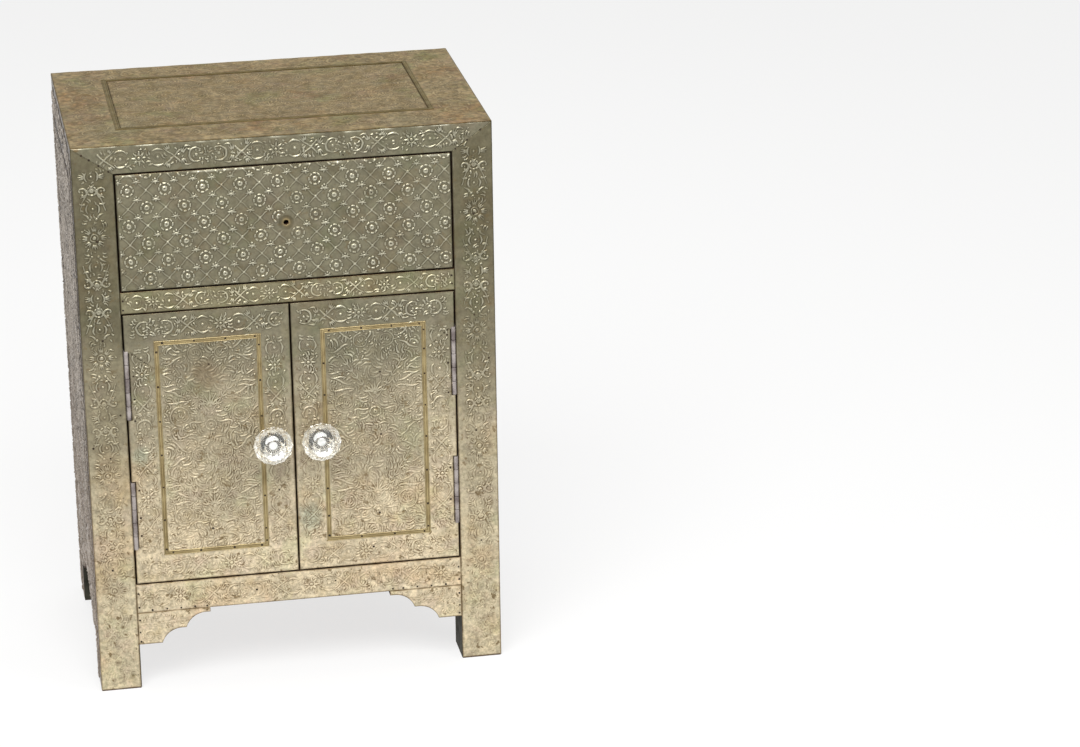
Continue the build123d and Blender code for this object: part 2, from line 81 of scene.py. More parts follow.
x_side = top_high[0]
y_front, y_back = top_low[1], top_high[1]
z_top, z_foot = top_high[2], leg_low[2]
z_mitre = side_high[2]
x_leg = -leg_high[0]
sheet = top_high[2] - top_low[2]
z_rail, z_floor = rail_low[2], rail_high[2]
z_door_top, z_divider = middle_low[2], middle_high[2]
z_drawer_top = mm_box("top_rail_front")[0][2]
z_bracket = bracket_low[2]
bracket_length = bracket_high[0] - bracket_low[0]
door_left, door_right = door_low[0], door_high[0]
door_bottom, door_top = door_low[2], door_high[2]
trim_margin = trim_low[0] - door_left
knob_x = (glass_low[0] + glass_high[0]) / 2
knob_z = (glass_low[2] + glass_high[2]) / 2
bolt_reach = y_front - knob_low[1]
drawer_centre = (drawer_low[2] + drawer_high[2]) / 2
y_leg_front = side_low[1] - sheet + (x_side - x_leg)
y_leg_back = back_leg_low[1]

# Sizes of the part's source that no box of a node shows
trim_width = 5.0
hole_radius = 2.75
side_foot = 155.0  # lower edge of the middle sheet of a side
side_seam = 1.0
top_trim_setback = 0.5
bracket_level, bracket_lip, cove_run, cove_count = 25.0, 5.0, 5.0, 2
arch_crown = 12.0  # level stretch between the brackets of a side's apron
hinge_length, barrel_radius, barrel_clearance, barrel_depth = 76.0, 2.5, 0.3, 1.2
knuckle_count, knuckle_gap, leaf_thickness, leaf_width = 5, 0.3, 1.2, 14.0

hinge_x = x_leg - barrel_radius - barrel_clearance
hinge_y = y_front + barrel_depth
hinge_bottoms = (leaf_low[2], leaf_high[2] - hinge_length)
hinge_seat = leaf_high[0]  # edge of the notches for the hinges in the door's sheet
strip_seam = trim_margin + trim_width / 2  # door's edge to the middle of its strips
top_field = (  # the top's middle sheet: left, right, front, back
    top_trim_low[0] + trim_width + top_trim_setback, top_trim_high[0] - trim_width - top_trim_setback,
    top_trim_low[1] + trim_width + top_trim_setback, top_trim_high[1] - trim_width - top_trim_setback,
)


# Where the nails are, across and up: those of the front are read from the photograph
CARCASS_NAILS = [
    -204.1 + 591.9j, -196.5 + 586.5j, -187.3 + 580.0j, -177.7 + 573.2j, -42.2 + 581.7j,
    203.0 + 591.2j, 189.0 + 581.2j, 176.8 + 572.6j, 61.0 + 574.2j,
    -192.9 + 500.1j, -192.9 + 393.0j, -191.9 + 263.4j, -179.2 + 310.3j, -208.9 + 276.0j, -196.3 + 137.6j,
    194.2 + 501.5j, 193.0 + 391.0j, 192.4 + 262.0j, 207.4 + 342.0j, 195.5 + 136.0j,
    -170.4 + 434.4j, -170.6 + 424.4j, 169.8 + 436.2j, 170.3 + 427.0j,
    -170.9 + 108.3j, -170.6 + 92.6j, 170.4 + 107.5j, 170.8 + 93.2j, -46.1 + 101.7j, 38.0 + 104.0j,
    -170.8 + 78.0j, -170.9 + 64.1j, -170.5 + 53.5j, 170.6 + 77.0j, 170.8 + 63.0j, 170.4 + 53.8j,
    -157.0 + 88.6j, -141.5 + 88.9j, -126.8 + 88.5j, -112.0 + 88.8j, -99.4 + 88.4j,
    156.2 + 88.7j, 140.6 + 88.4j, 125.4 + 88.9j, 110.2 + 88.5j, 99.0 + 88.7j,
]
SIDE_NAIL_LEVELS = (70.0, 120.0, 190.0, 262.0, 334.0, 405.0, 476.0, 545.0)
SIDE_NAILS = [complex(y, z) for y in (-84.6, 124.4) for z in SIDE_NAIL_LEVELS]
SIDE_NAILS += [complex(y, 559.6) for y in (-48.0, -6.0, 37.0, 80.0)]
STRIP_PINS = {
    "left": [
        -132.7 + 386.0j, -99.8 + 386.2j, -67.6 + 386.1j, -37.0 + 385.9j, -139.0 + 376.5j, -139.1 + 338.3j,
        -138.9 + 300.0j, -139.0 + 262.7j, -138.8 + 226.6j, -139.1 + 189.8j, -138.9 + 156.6j, -33.2 + 376.5j,
        -33.3 + 337.4j, -33.1 + 297.6j, -33.2 + 208.2j, -33.4 + 171.5j, -33.1 + 157.4j, -132.1 + 152.5j,
        -102.9 + 152.4j, -67.6 + 152.6j, -38.6 + 152.5j,
    ],
    "right": [
        39.9 + 386.0j, 73.7 + 386.1j, 105.3 + 385.9j, 134.6 + 386.1j, 139.0 + 379.2j, 139.1 + 358.2j,
        138.9 + 330.6j, 139.0 + 295.4j, 139.1 + 260.2j, 138.9 + 222.0j, 139.0 + 183.7j, 138.8 + 158.0j,
        33.3 + 350.5j, 33.1 + 315.3j, 33.2 + 210.3j, 33.4 + 179.1j, 33.2 + 156.6j, 67.5 + 152.5j,
        102.8 + 152.6j, 134.6 + 152.4j,
    ],
}
DOOR_NAILS = {
    "left": [
        -163.7 + 352.0j, -163.9 + 326.6j, -164.1 + 375.7j, -164.4 + 302.6j, -164.1 + 225.2j, -164.0 + 194.2j,
        -164.2 + 174.0j, -86.0 + 359.1j, -89.1 + 176.0j, -17.9 + 213.0j,
    ],
    "right": [
        92.1 + 336.1j, 91.2 + 266.3j, 87.5 + 177.6j, 79.8 + 139.3j, 163.8 + 371.0j, 164.2 + 340.0j,
        163.9 + 307.0j, 164.1 + 222.0j, 163.7 + 186.0j, 17.0 + 398.0j,
    ],
}


# ---- Relief: strokes and bosses pressed into a map of heights ---------------------------------


class Canvas:
    """A map of heights from 0 to 1 over a rectangle of a face."""

    def __init__(self, low, high):
        self.low = low
        columns = int((high - low).real / CANVAS_STEP) + 2
        rows = int((high - low).imag / CANVAS_STEP) + 2
        self.x = low.real + CANVAS_STEP * np.arange(columns)
        self.z = low.imag + CANVAS_STEP * np.arange(rows)
        self.h = np.zeros((rows, columns))
        self.weight = 1.0  # how broad strokes come out

    def window(self, low, high):
        """The samples between two corners, as rows and columns."""
        rows = slice(*np.searchsorted(self.z, (low.imag, high.imag)))
        columns = slice(*np.searchsorted(self.x, (low.real, high.real)))
        return rows, columns

    def stroke(self, line, start_width, end_width, height):
        """Raises a bead along a line of points, from one half-width to another."""
        widths = np.linspace(start_width, end_width, len(line))
        for first in range(0, len(line) - 1, 8):
            part = line[first : first + 9]
            self._bead(part, widths[first : first + 9], height)

    def _bead(self, line, widths, height):
        reach = widths.max() * (1 + 1j)
        low, high = complex(line.real.min(), line.imag.min()), complex(line.real.max(), line.imag.max())
        area = self.window(low - reach, high + reach)
        x, z = self.x[area[1]][None, :], self.z[area[0]][:, None]
        if not x.size or not z.size:
            return
        best = np.zeros((z.size, x.size))
        for a, b, wide, thin in zip(line, line[1:], widths, widths[1:]):
            d = b - a
            long2 = max(abs(d) ** 2, 1e-9)
            t = np.clip(((x - a.real) * d.real + (z - a.imag) * d.imag) / long2, 0, 1)
            away = (x - a.real - t * d.real) ** 2 + (z - a.imag - t * d.imag) ** 2
            best = np.maximum(best, 1 - away / (wide + (thin - wide) * t) ** 2)
        self.h[area] = np.maximum(self.h[area], height * best)

    def boss(self, at, radius, height):
        """Raises a round boss."""
        self._bead(np.array([at, at + 1e-3]), np.array([radius, radius]), height)

    def flatten(self, at, radius, soft):
        """Presses the relief flat round a point."""
        reach = (radius + soft) * (1 + 1j)
        area = self.window(at - reach, at + reach)
        away = np.hypot(self.x[None, area[1]] - at.real, self.z[area[0], None] - at.imag)
        self.h[area] *= np.clip((away - radius) / soft, 0, 1)

    def press(self, seed, patches=()):
        """Makes the relief weaker in places, as worn dies and rubbing leave it."""
        points = self.x[None, :] + 1j * self.z[:, None]
        self.h *= 0.84 + 0.3 * dents(points, seed) + 0.14 * dents(points, seed + 1, 0.12)
        for centre, radius, amount in patches:
            self.h *= 1 - amount * np.exp(-((abs(points - centre) / radius) ** 2))
        np.clip(self.h, 0, 1, out=self.h)

    def clear(self, base, wide, tall, seam):
        """Clears the middle of a door and the track of its strips."""
        edge = trim_width / 2 + 0.8
        near, far = seam - edge, edge - seam
        a, b = base.to(complex(near, near)), base.to(complex(wide + far, tall + far))
        (x0, x1), (z0, z1) = sorted((a.real, b.real)), sorted((a.imag, b.imag))
        self.h[self.window(complex(x0, z0), complex(x1, z1))] = 0

    def at(self, points, field=None):
        """Heights at any points, between the samples."""
        field = self.h if field is None else field
        u = np.clip((points.real - self.low.real) / CANVAS_STEP, 0, field.shape[1] - 1.001)
        v = np.clip((points.imag - self.low.imag) / CANVAS_STEP, 0, field.shape[0] - 1.001)
        i, j = u.astype(int), v.astype(int)
        u, v = u - i, v - j
        low = field[j, i] * (1 - u) + field[j, i + 1] * u
        high = field[j + 1, i] * (1 - u) + field[j + 1, i + 1] * u
        return low * (1 - v) + high * v

    def hollows(self):
        """How deep each point lies under its neighbours' mean height."""
        n = round(1.2 / CANVAS_STEP)  # samples to each side that count as neighbours
        mean = self.h
        for axis in (0, 1):
            first = np.repeat(np.take(mean, [0], axis), n, axis)
            last = np.repeat(np.take(mean, [-1], axis), n, axis)
            total = np.cumsum(np.concatenate([first, mean, last], axis), axis)
            total = np.concatenate([np.zeros_like(np.take(total, [0], axis)), total], axis)
            count = mean.shape[axis]
            upper = np.take(total, range(2 * n + 1, 2 * n + 1 + count), axis)
            lower = np.take(total, range(count), axis)
            mean = (upper - lower) / (2 * n + 1)
        return np.clip(mean - self.h, 0, 1)


class Place:
    """A local frame on a canvas: where it is, which way it runs and whether it is mirrored."""

    def __init__(self, canvas, origin, turn=0.0, scale=1.0, mirror=False):
        self.canvas, self.origin, self.mirror = canvas, origin, mirror
        self.along = scale * np.exp(1j * turn)
        self.scale = scale

    def to(self, local):
        local = np.conj(local) if self.mirror else local
        return self.origin + local * self.along

    def inner(self, at, turn=0.0, scale=1.0, mirror=False):
        """A frame inside this one."""
        sign = -1 if self.mirror else 1
        angle = np.angle(self.along) + sign * turn
        made = Place(self.canvas, self.to(at), angle, self.scale * scale)
        made.mirror = self.mirror != mirror
        return made

    def stroke(self, line, start, end, height):
        s = self.scale * self.canvas.weight
        self.canvas.stroke(self.to(np.asarray(line)), start * s, end * s, height)

    def boss(self, at, radius, height):
        self.canvas.boss(self.to(at), radius * self.scale, height)


def curl(start, heading, length, bend, count=7):
    """Points of a curve that starts along a heading and bends evenly by an angle."""
    t = np.linspace(0, 1, count)
    angles = heading + bend * (t[:-1] + t[1:]) / 2
    steps = np.exp(1j * angles) * length / (count - 1)
    return start + np.concatenate([[0], np.cumsum(steps)])


def arc(centre, radius, first, last):
    """Points of an arc between two angles."""
    count = max(4, int(abs(last - first) * radius / 1.6) + 2)
    return centre + radius * np.exp(1j * np.linspace(first, last, count))


def leaf(place, at, heading, length=5.0, bend=0.9, width=1.0, height=0.85):
    """A comma-shaped leaf."""
    place.stroke(curl(at, heading, length, bend, 6), width, 0.3 * width, height)


def wave_leaf(place, at, heading, length, bend, width=1.2):
    """A long leaf that bends one way and then back."""
    first = curl(at, heading, 0.5 * length, bend, 6)
    second = curl(first[-1], heading + bend, 0.5 * length, -1.3 * bend, 6)
    place.stroke(first, 0.5 * width, width, 0.85)
    place.stroke(second, width, 0.3 * width, 0.85)


def cluster(place, at, heading, length=4.2, count=3, opening=0.55):
    """A few leaves that fan out from one point."""
    for k in range(count):
        turn = (k - (count - 1) / 2) * opening
        start = at + 1.3 * np.exp(1j * (heading + 1.6 * turn))
        leaf(place, start, heading + turn, length, -0.9 * turn, 0.95)


def rosette(place, at, radius, petals=8):
    """A small raised ring in a rim of short thick dashes."""
    place.stroke(arc(at, 0.26 * radius, 0, 2 * np.pi), 0.18 * radius, 0.18 * radius, 1.0)
    for k in range(petals):
        angle = 2 * np.pi * (k + 0.5) / petals + 0.4
        place.stroke(arc(at, 0.87 * radius, angle - 0.19, angle + 0.19), 0.15 * radius, 0.15 * radius, 0.95)


def sunflower(place, at, radius):
    """A boss in a ring with pointed petals and a bead between each two."""
    petals = 8
    place.boss(at, 0.25 * radius, 1.0)
    place.stroke(arc(at, 0.44 * radius, 0, 2 * np.pi), 0.08 * radius, 0.08 * radius, 0.6)
    for k in range(petals):
        way = np.exp(2j * np.pi * k / petals)
        place.stroke(at + radius * way * np.linspace(0.62, 1.0, 4), 0.15 * radius, 0.05 * radius, 0.9)
        place.boss(at + 0.86 * radius * way * np.exp(1j * np.pi / petals), 0.1 * radius, 0.8)


def ring_scroll(place, at, radius):
    """A boss in a ring, with a thick arc above and below."""
    place.boss(at, 0.3 * radius, 1.0)
    place.stroke(arc(at, 0.8 * radius, 0.6, 5.9), 0.6, 0.45, 0.4)
    for middle in (np.pi / 2, -np.pi / 2):
        place.stroke(arc(at, 1.45 * radius, middle - 0.75, middle), 0.4, 1.15, 0.9)
        place.stroke(arc(at, 1.45 * radius, middle, middle + 0.75), 1.15, 0.4, 0.9)


def c_scroll(place, at, radius, opening=0.0):
    """Most of a ring that is open to one side, with beads at its ends and a boss within."""
    line = arc(at, radius, opening + 0.9, opening + 2 * np.pi - 0.9)
    half = len(line) // 2
    place.stroke(line[: half + 1], 0.5, 1.1, 0.85)
    place.stroke(line[half:], 1.1, 0.5, 0.85)
    for end in (line[0], line[-1]):
        place.boss(end + 0.25 * (at - end), 1.35, 0.95)
    place.boss(at, 0.24 * radius, 0.9)


def spiral(place, at, radius, start, turns, inner=0.35, width=0.8):
    """A stem that winds inwards from its rim."""
    count = int(16 * abs(turns)) + 4
    angles = start + np.linspace(0, 2 * np.pi * turns, count)
    radii = radius * np.linspace(1, inner, count)
    place.stroke(at + radii * np.exp(1j * angles), width, 0.6 * width, 0.7)


def repeats(length, centre, period):
    """Centres of a repeated pattern that can reach into a length, one of them given."""
    first = math.floor(-centre / period) - 1
    return [centre + k * period for k in range(first, first + int(length / period) + 4)]


def mirrored(place, length, centre, period, scale=1.0):
    """Both halves of each repeat: its frame, a test of what fits in the length, and which half."""
    for flower in repeats(length, centre, period):
        for mirror in (False, True):
            low, high = -flower / scale, (length - flower) / scale
            if mirror:
                low, high = -high, -low

            def inside(x, reach):
                return low + reach < x < high - reach

            yield place.inner(flower, np.pi if mirror else 0.0, scale, mirror), inside, mirror


# Leaves that fill what is bare: (length, half-width, leaves in a group) by size, and their spacing
SPARSE = (((4.4, 0.95, 2), (2.2, 0.95, 1)), 5.6)
DENSE = (((4.8, 1.05, 2), (2.6, 0.9, 1)), 3.3)
COLUMN_LEAVES = (((5.0, 1.0, 2), (2.6, 0.95, 1)), 5.2)
BRACKET_LEAVES = (((5.0, 0.9, 2), (2.6, 0.85, 1)), 3.8)
FIELD_LEAVES = (((10.0, 1.45, 2), (6.2, 1.15, 3), (4.2, 1.0, 2), (3.0, 1.0, 1), (1.6, 1.0, 1)), 3.3)
BAND_REPEAT, COLUMN_REPEAT, FIELD_REPEAT = 139.0, 130.0, 112.0  # after which each pattern starts again


def band(place, length, centre, scale, seed, density=SPARSE):
    """A running border: sunflowers, ringed bosses, crossed stems and pairs of open scrolls."""
    for part, inside, mirror in mirrored(place, length, centre, BAND_REPEAT * scale, scale):
        if inside(0, 6) and not mirror:
            sunflower(part, 0, 7.6)
        if inside(19, 6):
            ring_scroll(part, 19 + 0j, 6.0)
        if inside(34, 9):
            for side in (1, -1):
                part.stroke(curl(25 - side * 8.5j, side * 0.62, 22, side * 0.22, 10), 0.65, 0.9, 0.75)
                cluster(part, 30 + side * 7.5j, side * 2.0, 3.6)
        if inside(46, 5):
            for side in (1, -1):
                cluster(part, 44 + side * 3.2j, side * 1.2, 4.6)
                leaf(part, 47 + side * 9.5j, 0.2 * side, 6.5, -0.7 * side, 1.0)
        if inside(58, 8):
            c_scroll(part, 58 + 0j, 7.4, 0.0)
        if inside(69.5, 3) and not mirror:
            for side in (1, -1):
                part.boss(69.5 + side * 3j, 1.1, 0.8)
                part.boss(69.5 + side * 8j, 1.3, 0.8)
    rng = np.random.default_rng(seed)
    fill(place, (0.5, length - 0.5), (-11.5 * scale, 11.5 * scale), rng, *density)


def column(place, length, centre, seed):
    """A leg's ornament: great flowers, crossed stems and ringed bosses, one above the other."""
    for part, inside, mirror in mirrored(place, length, centre, COLUMN_REPEAT):
        if inside(0, 14) and not mirror:
            part.boss(0j, 2.3, 1.0)
            part.stroke(arc(0j, 3.9, 0, 2 * np.pi), 0.6, 0.6, 0.7)
            for j in range(8):
                way = np.exp(2j * np.pi * j / 8)
                far = 11.2 if j % 2 == 0 else 9.6
                cluster(part, 0.62 * far * way, np.angle(way), 4.4)
                part.boss(1.32 * far * way, 0.9, 0.8)
        if inside(22, 5):
            for side in (1, -1):
                part.boss(20 + side * 3.2j, 1.7, 1.0)
                leaf(part, 22 + side * 5j, 0.5 * side, 7, 0.9 * side, 1.1)
        if inside(31, 4):
            ring_scroll(part, 31 + 0j, 4.6)
        if inside(42, 13):
            for side in (1, -1):
                part.stroke(curl(29 - side * 13j, side * 0.25, 31, side * 0.5, 14), 0.6, 0.8, 0.7)
                leaf(part, 36 + side * 8j, side * 1.9, 5.5, -side * 1.2, 1.1)
                leaf(part, 44 + side * 7j, side * 1.3, 5.5, side * 1.2, 1.1)
                c_scroll(part, 49 + side * 9.5j, 4.0, side * 2.2)
        if inside(52, 4):
            rosette(part, 50 + 0j, 5.4, 8)
        if inside(65, 6) and not mirror:
            ring_scroll(part, 65 + 0j, 4.6)
            for side in (1, -1):
                cluster(part, 65 + side * 7.5j, side * np.pi / 2, 4.6)
    rng = np.random.default_rng(seed)
    fill(place, (0.5, length - 0.5), (-14.0, 14.0), rng, *COLUMN_LEAVES)


def fill(place, across, up, rng, sizes, spacing):
    """Scatters groups of comma leaves over what is still bare, along slow swirls, large ones first."""
    waves = []
    for _ in range(3):
        waves.append((rng.uniform(0.05, 0.16), np.exp(1j * rng.uniform(0, np.pi)), rng.uniform(0, 6)))
    for length, width, group in sizes:
        s, t = np.meshgrid(np.arange(across[0], across[1], spacing), np.arange(up[0], up[1], spacing))
        starts = (s + 1j * t).ravel()
        shaken = rng.uniform(-1, 1, starts.size) + 1j * rng.uniform(-1, 1, starts.size)
        starts = starts + spacing * 0.5 * shaken
        headings = sum(2.2 * np.sin(f * (starts * np.conj(w)).real + c) for f, w, c in waves)
        headings = headings + rng.uniform(-0.5, 0.5, starts.size)
        bends = rng.choice((-1.2, 1.2), starts.size)
        for at, heading, bend in zip(starts, headings, bends):
            lines, room, slip = [], [], rng.uniform(-1.6, 1.6)
            sideways = 1j * np.exp(1j * (heading + bend / 2))
            normal = sideways * (width + 0.2)
            for k in range(group):
                start = at + k * (2 * width + 0.7) * sideways + slip * k * np.exp(1j * heading)
                line = curl(start, heading + 0.22 * k, length * (1 - 0.22 * k), bend, 6)
                lines.append(line)
                room += [line[::2], line[1::2] + normal, line[1::2] - normal]
            room = np.concatenate(room)
            if room.imag.max() > up[1] or room.imag.min() < up[0]:
                continue
            if room.real.max() > across[1] or room.real.min() < across[0]:
                continue
            if place.canvas.at(place.to(room)).max() < 0.08:
                for line in lines:
                    place.stroke(line, width, 0.35 * width, rng.uniform(0.6, 1.0))


def arabesque(place, half, tall, level, seed):
    """A mirrored field: scrolls to both sides of a palmette, over stems that part upwards."""
    unit = half / 50.0
    for base in repeats(tall, level, FIELD_REPEAT):
        for mirror in (False, True):
            sided = place.inner(1j * base, np.pi if mirror else 0.0, unit, mirror)

            def inside(z, reach):
                return reach < base + z * unit < tall - reach

            if inside(0, 11):
                centre = 31 + 0j
                spiral(sided, centre, 11.5, -np.pi / 2, 1.15, 0.62, 0.9)
                cluster(sided, centre - 2.5j, 1.9, 5.0, 3, 0.7)
                for j in range(9):
                    angle = -2.4 + j * 0.62
                    leaf(sided, centre + 13.3 * np.exp(1j * angle), angle + 1.1, 6.4, -1.1, 1.15)
                for j in range(4):
                    leaf(sided, centre + 5.5 * np.exp(1j * (1.2 + 1.3 * j)), 2.6 + 1.3 * j, 4.2, 1.3, 0.9)
                cluster(sided, 14 + 2j, 0.6, 6.0)
                wave_leaf(sided, 7 - 8j, -0.5, 17, 0.9, 1.3)
            if inside(14, 4):
                wave_leaf(sided, 22 + 14.5j, 0.35, 25, -0.7, 1.5)
                wave_leaf(sided, 25 + 20j, 0.1, 22, 0.6, 1.3)
            if inside(26, 25):
                stem = curl(1.5 + 3j, 0.93, 60, 0.12, 20)
                sided.stroke(stem, 0.75, 0.6, 0.75)
                for at in stem[3:16:3]:
                    leaf(sided, at + 0.9j, 1.9, 6.2, -1.0, 1.1)
                    leaf(sided, at + 1.2, 0.1, 6.2, 1.0, 1.1)
            if inside(30, 5):
                wave_leaf(sided, 30 + 28j, 0.5, 18, -0.9, 1.3)
                wave_leaf(sided, 34 + 34j, 0.3, 15, -0.7, 1.2)
                wave_leaf(sided, 37 + 40j, 0.1, 12, 0.7, 1.1)
            if inside(-44, 9):
                small = 13 - 44j
                spiral(sided, small, 8.6, np.pi / 2, -1.1, 0.6, 0.8)
                cluster(sided, small - 1.5j, 1.2, 3.8, 3, 0.8)
                for j in range(6):
                    angle = 1.9 - j * 0.75
                    leaf(sided, small + 10.2 * np.exp(1j * angle), angle - 1.1, 5.2, 1.1, 1.05)
                wave_leaf(sided, 26 - 40j, 0.3, 22, 0.8, 1.3)
                wave_leaf(sided, 27 - 47j, -0.1, 21, -0.7, 1.3)
            if inside(-20, 6):
                leaf(sided, 4 - 26j, 0.5, 9, -1.0, 1.3)
                leaf(sided, 20 - 17j, -0.4, 10, 1.3, 1.2)
                leaf(sided, 24 - 22j, -0.7, 10, 1.2, 1.2)
                leaf(sided, 30 - 27j, -0.2, 9, 1.0, 1.2)
        if 10 < base + 20 * unit < tall - 10:
            for j in range(-3, 4):
                heading = np.pi / 2 - 0.38 * j
                start = 1j * (base + 9 * unit) + 3.0 * unit * np.exp(1j * heading)
                place.stroke(curl(start, heading, unit * (13 - 1.6 * abs(j)), -0.22 * j, 8), 1.3, 0.5, 0.95)
            place.boss(1j * (base + 9 * unit), 2.4 * unit, 1.0)
        if 8 < base - 12 * unit < tall - 8:
            rosette(place, 1j * (base - 12 * unit), 6.4 * unit, 9)
    rng = np.random.default_rng(seed)
    fill(place, (-half + 1, half - 1), (1.0, tall - 1.0), rng, *FIELD_LEAVES)


def lattice(place, across, up, pitch, rise, start):
    """Rosettes in a net of diagonal lines with small leaves."""
    for row in range(-1, int(up / rise) + 2):
        z = start.imag + row * rise
        shift = 0.5 * ((row + 1) % 2)
        for column_number in range(-2, int(across / pitch) + 2):
            at = start.real + (column_number + shift) * pitch + 1j * z
            rosette(place, at, 7.0)
            knot = at + pitch / 2
            place.boss(knot, 1.6, 1.0)
            for way in (1, -1):
                run = pitch / 2 + 1j * way * rise
                place.stroke(knot + run * np.linspace(0.04, 0.37, 4), 0.85, 0.6, 0.7)
                place.stroke(knot + run * np.linspace(0.63, 0.96, 4), 0.6, 0.85, 0.7)
                middle = knot + run / 2
                for out, bend in ((-0.5, 0.7), (np.pi + 0.5, -0.7)):
                    leaf(place, middle + 0.9 * np.exp(1j * out), out, 3.8, bend, 1.3, 1.0)
                    place.boss(middle + 2.6 * np.exp(1j * out) + 2.3j, 1.15, 0.9)
                place.boss(middle + 2.4j, 1.3, 1.0)
                leaf(place, middle - 1.2j, -np.pi / 2, 2.6, 0.5 * way, 1.1, 0.9)


def feather(place, length, height, seed):
    """A long leaf with a few uneven ribs, over curls, that runs out to the tip of a bracket."""
    rng = np.random.default_rng(seed)
    spine = curl(2 + 0.66j * height, -0.06, 0.88 * length, 0.24, 20)
    place.stroke(spine, 0.9, 0.5, 0.55)
    for k in (1, 3, 5, 8, 10, 13, 16):
        fall = 1 - k / 24
        heading = np.angle(spine[k] - spine[k - 1])
        leaf(place, spine[k], heading - rng.uniform(0.7, 1.1), rng.uniform(9, 14) * fall, 0.7, 1.0, 0.6)
        leaf(place, spine[k + 1], heading + 0.5, rng.uniform(4, 8) * fall, -0.5, 0.8, 0.5)
    spiral(place, 12 + 0.26j * height, 6.5, 0.6, 1.2, 0.4, 0.8)
    for across, up in (((2, 24), (2.5, height - 3)), ((26, 0.66 * length), (0.52 * height, height - 3))):
        fill(place, across, up, rng, *BRACKET_LEAVES)


COLUMN_FOOT = 4  # where the ornament of the legs starts above their foot
LEG_FLOWER = 504  # level of one of the great flowers on a leg of the front


def front_canvas():
    """The front's relief: bands on the rails, columns on the legs, brackets and doors.

    Each band is given its centre line, its length and where one of its sunflowers is.
    """
    canvas = Canvas(complex(-x_side, 0), complex(x_side, z_top))
    canvas.weight = 1.22
    for side in (-1, 1):
        x = side * ((x_side + x_leg) / 2 + 1.5)
        up = Place(canvas, complex(x, z_foot + COLUMN_FOOT), np.pi / 2, 1.0, side > 0)
        column(up, z_drawer_top - z_foot + 2, LEG_FLOWER - z_foot - COLUMN_FOOT, 11 + side)
    z = (z_mitre + z_drawer_top) / 2 + 0.5
    band(Place(canvas, complex(-x_side + 22, z)), 2 * x_side - 44, x_side - 22 - 7.3, 1.0, 3, DENSE)
    z = (z_door_top + z_divider) / 2
    band(Place(canvas, complex(-x_leg + 3, z)), 2 * x_leg - 6, x_leg - 3 - 20, 0.86, 4, DENSE)
    z = (z_rail + z_floor) / 2
    band(Place(canvas, complex(-x_leg + 3, z)), 2 * x_leg - 6, x_leg - 3 + 12, 1.0, 5, DENSE)
    for side in (-1, 1):
        mirror = side > 0
        out = Place(canvas, complex(side * x_leg, z_bracket), np.pi if mirror else 0.0, 1.0, mirror)
        feather(out, bracket_length, z_rail - z_bracket, 13 + side)
        door(canvas, side)
    worn = [(-88 + 345j, 24, 0.45), (-60 + 318j, 14, 0.35), (-92 + 290j, 16, 0.25), (84 + 330j, 20, 0.3)]
    canvas.press(19, worn + [(side * 196 + 38j, 52, 0.55) for side in (-1, 1)])
    for at in CARCASS_NAILS + DOOR_NAILS["left"] + DOOR_NAILS["right"]:
        canvas.flatten(at, 1.5, 0.8)
    canvas.hollow = canvas.hollows()
    canvas.h *= np.interp(canvas.z, (0, 130, 340), (0.5, 0.66, 1.0))[:, None]
    return canvas


def drawer_canvas():
    """The drawer's relief, flat round the hole of its knob."""
    low, high = complex(drawer_low[0], drawer_low[2]), complex(drawer_high[0], drawer_high[2])
    canvas = Canvas(low, high)
    lattice(Place(canvas, low), (high - low).real, (high - low).imag, 38.2, 18.95, 11.5 + 12j)
    canvas.press(23)
    canvas.flatten(complex(0, drawer_centre), 8.5, 2.0)
    canvas.hollow = canvas.hollows()
    return canvas


def door(canvas, side):
    """Bands round a door and the arabesque of its middle, mirrored on the right door."""
    mirror = side > 0
    canvas.weight = 1.3
    wide = door_right - door_left
    tall = door_top - door_bottom
    seam = strip_seam
    corner = complex(side * -door_left, door_bottom)
    base = Place(canvas, corner, np.pi if mirror else 0.0, 1.0, mirror)
    middle = (trim_margin + 1) / 2
    for level in (middle, tall - middle):
        band(base.inner(complex(4, level)), wide - 8, 96.0, 0.98, 21, DENSE)
    for x in (middle + 1, wide - middle - 1):
        upright = base.inner(complex(x, seam), np.pi / 2)
        band(upright, tall - 2 * seam, 64.0, 0.98, 23, DENSE)
    canvas.clear(base, wide, tall, seam)
    canvas.weight = 1.0
    inside = base.inner(complex(wide / 2, seam))
    arabesque(inside, (wide - trim_width) / 2 - seam, tall - 2 * seam, 40.0, 7 + side)
    canvas.flatten(complex(side * -knob_x, knob_z), 9.0, 3.0)


def side_canvas():
    """A side's relief: a column on each leg, a band at its head, and the middle and the apron."""
    canvas = Canvas(complex(y_front, 0), complex(y_back, z_top))
    canvas.weight = 1.45
    border = x_side - x_leg
    for y, mirror in ((y_front + border / 2, False), (y_back - border / 2, True)):
        up = Place(canvas, complex(y, z_foot + COLUMN_FOOT), np.pi / 2, 1.0, mirror)
        column(up, z_mitre - z_foot - 14, 380.0, 31)
    z = z_mitre - border / 2
    band(Place(canvas, complex(y_front + 30, z)), y_back - y_front - 60, 98.0, 1.3, 33)
    y, half = (y_leg_front + y_leg_back) / 2, (y_leg_back - y_leg_front) / 2
    arabesque(Place(canvas, complex(y, z_bracket)), half, side_foot - z_bracket, 60.0, 35)
    half -= side_seam
    middle = complex(y, side_foot + side_seam)
    tall = z_mitre - border - side_foot - 2 * side_seam
    for shift in (-half / 2, half / 2):
        arabesque(Place(canvas, middle + shift), half / 2, tall, 30.0, 37)
    canvas.hollow = canvas.hollows()
    return canvas


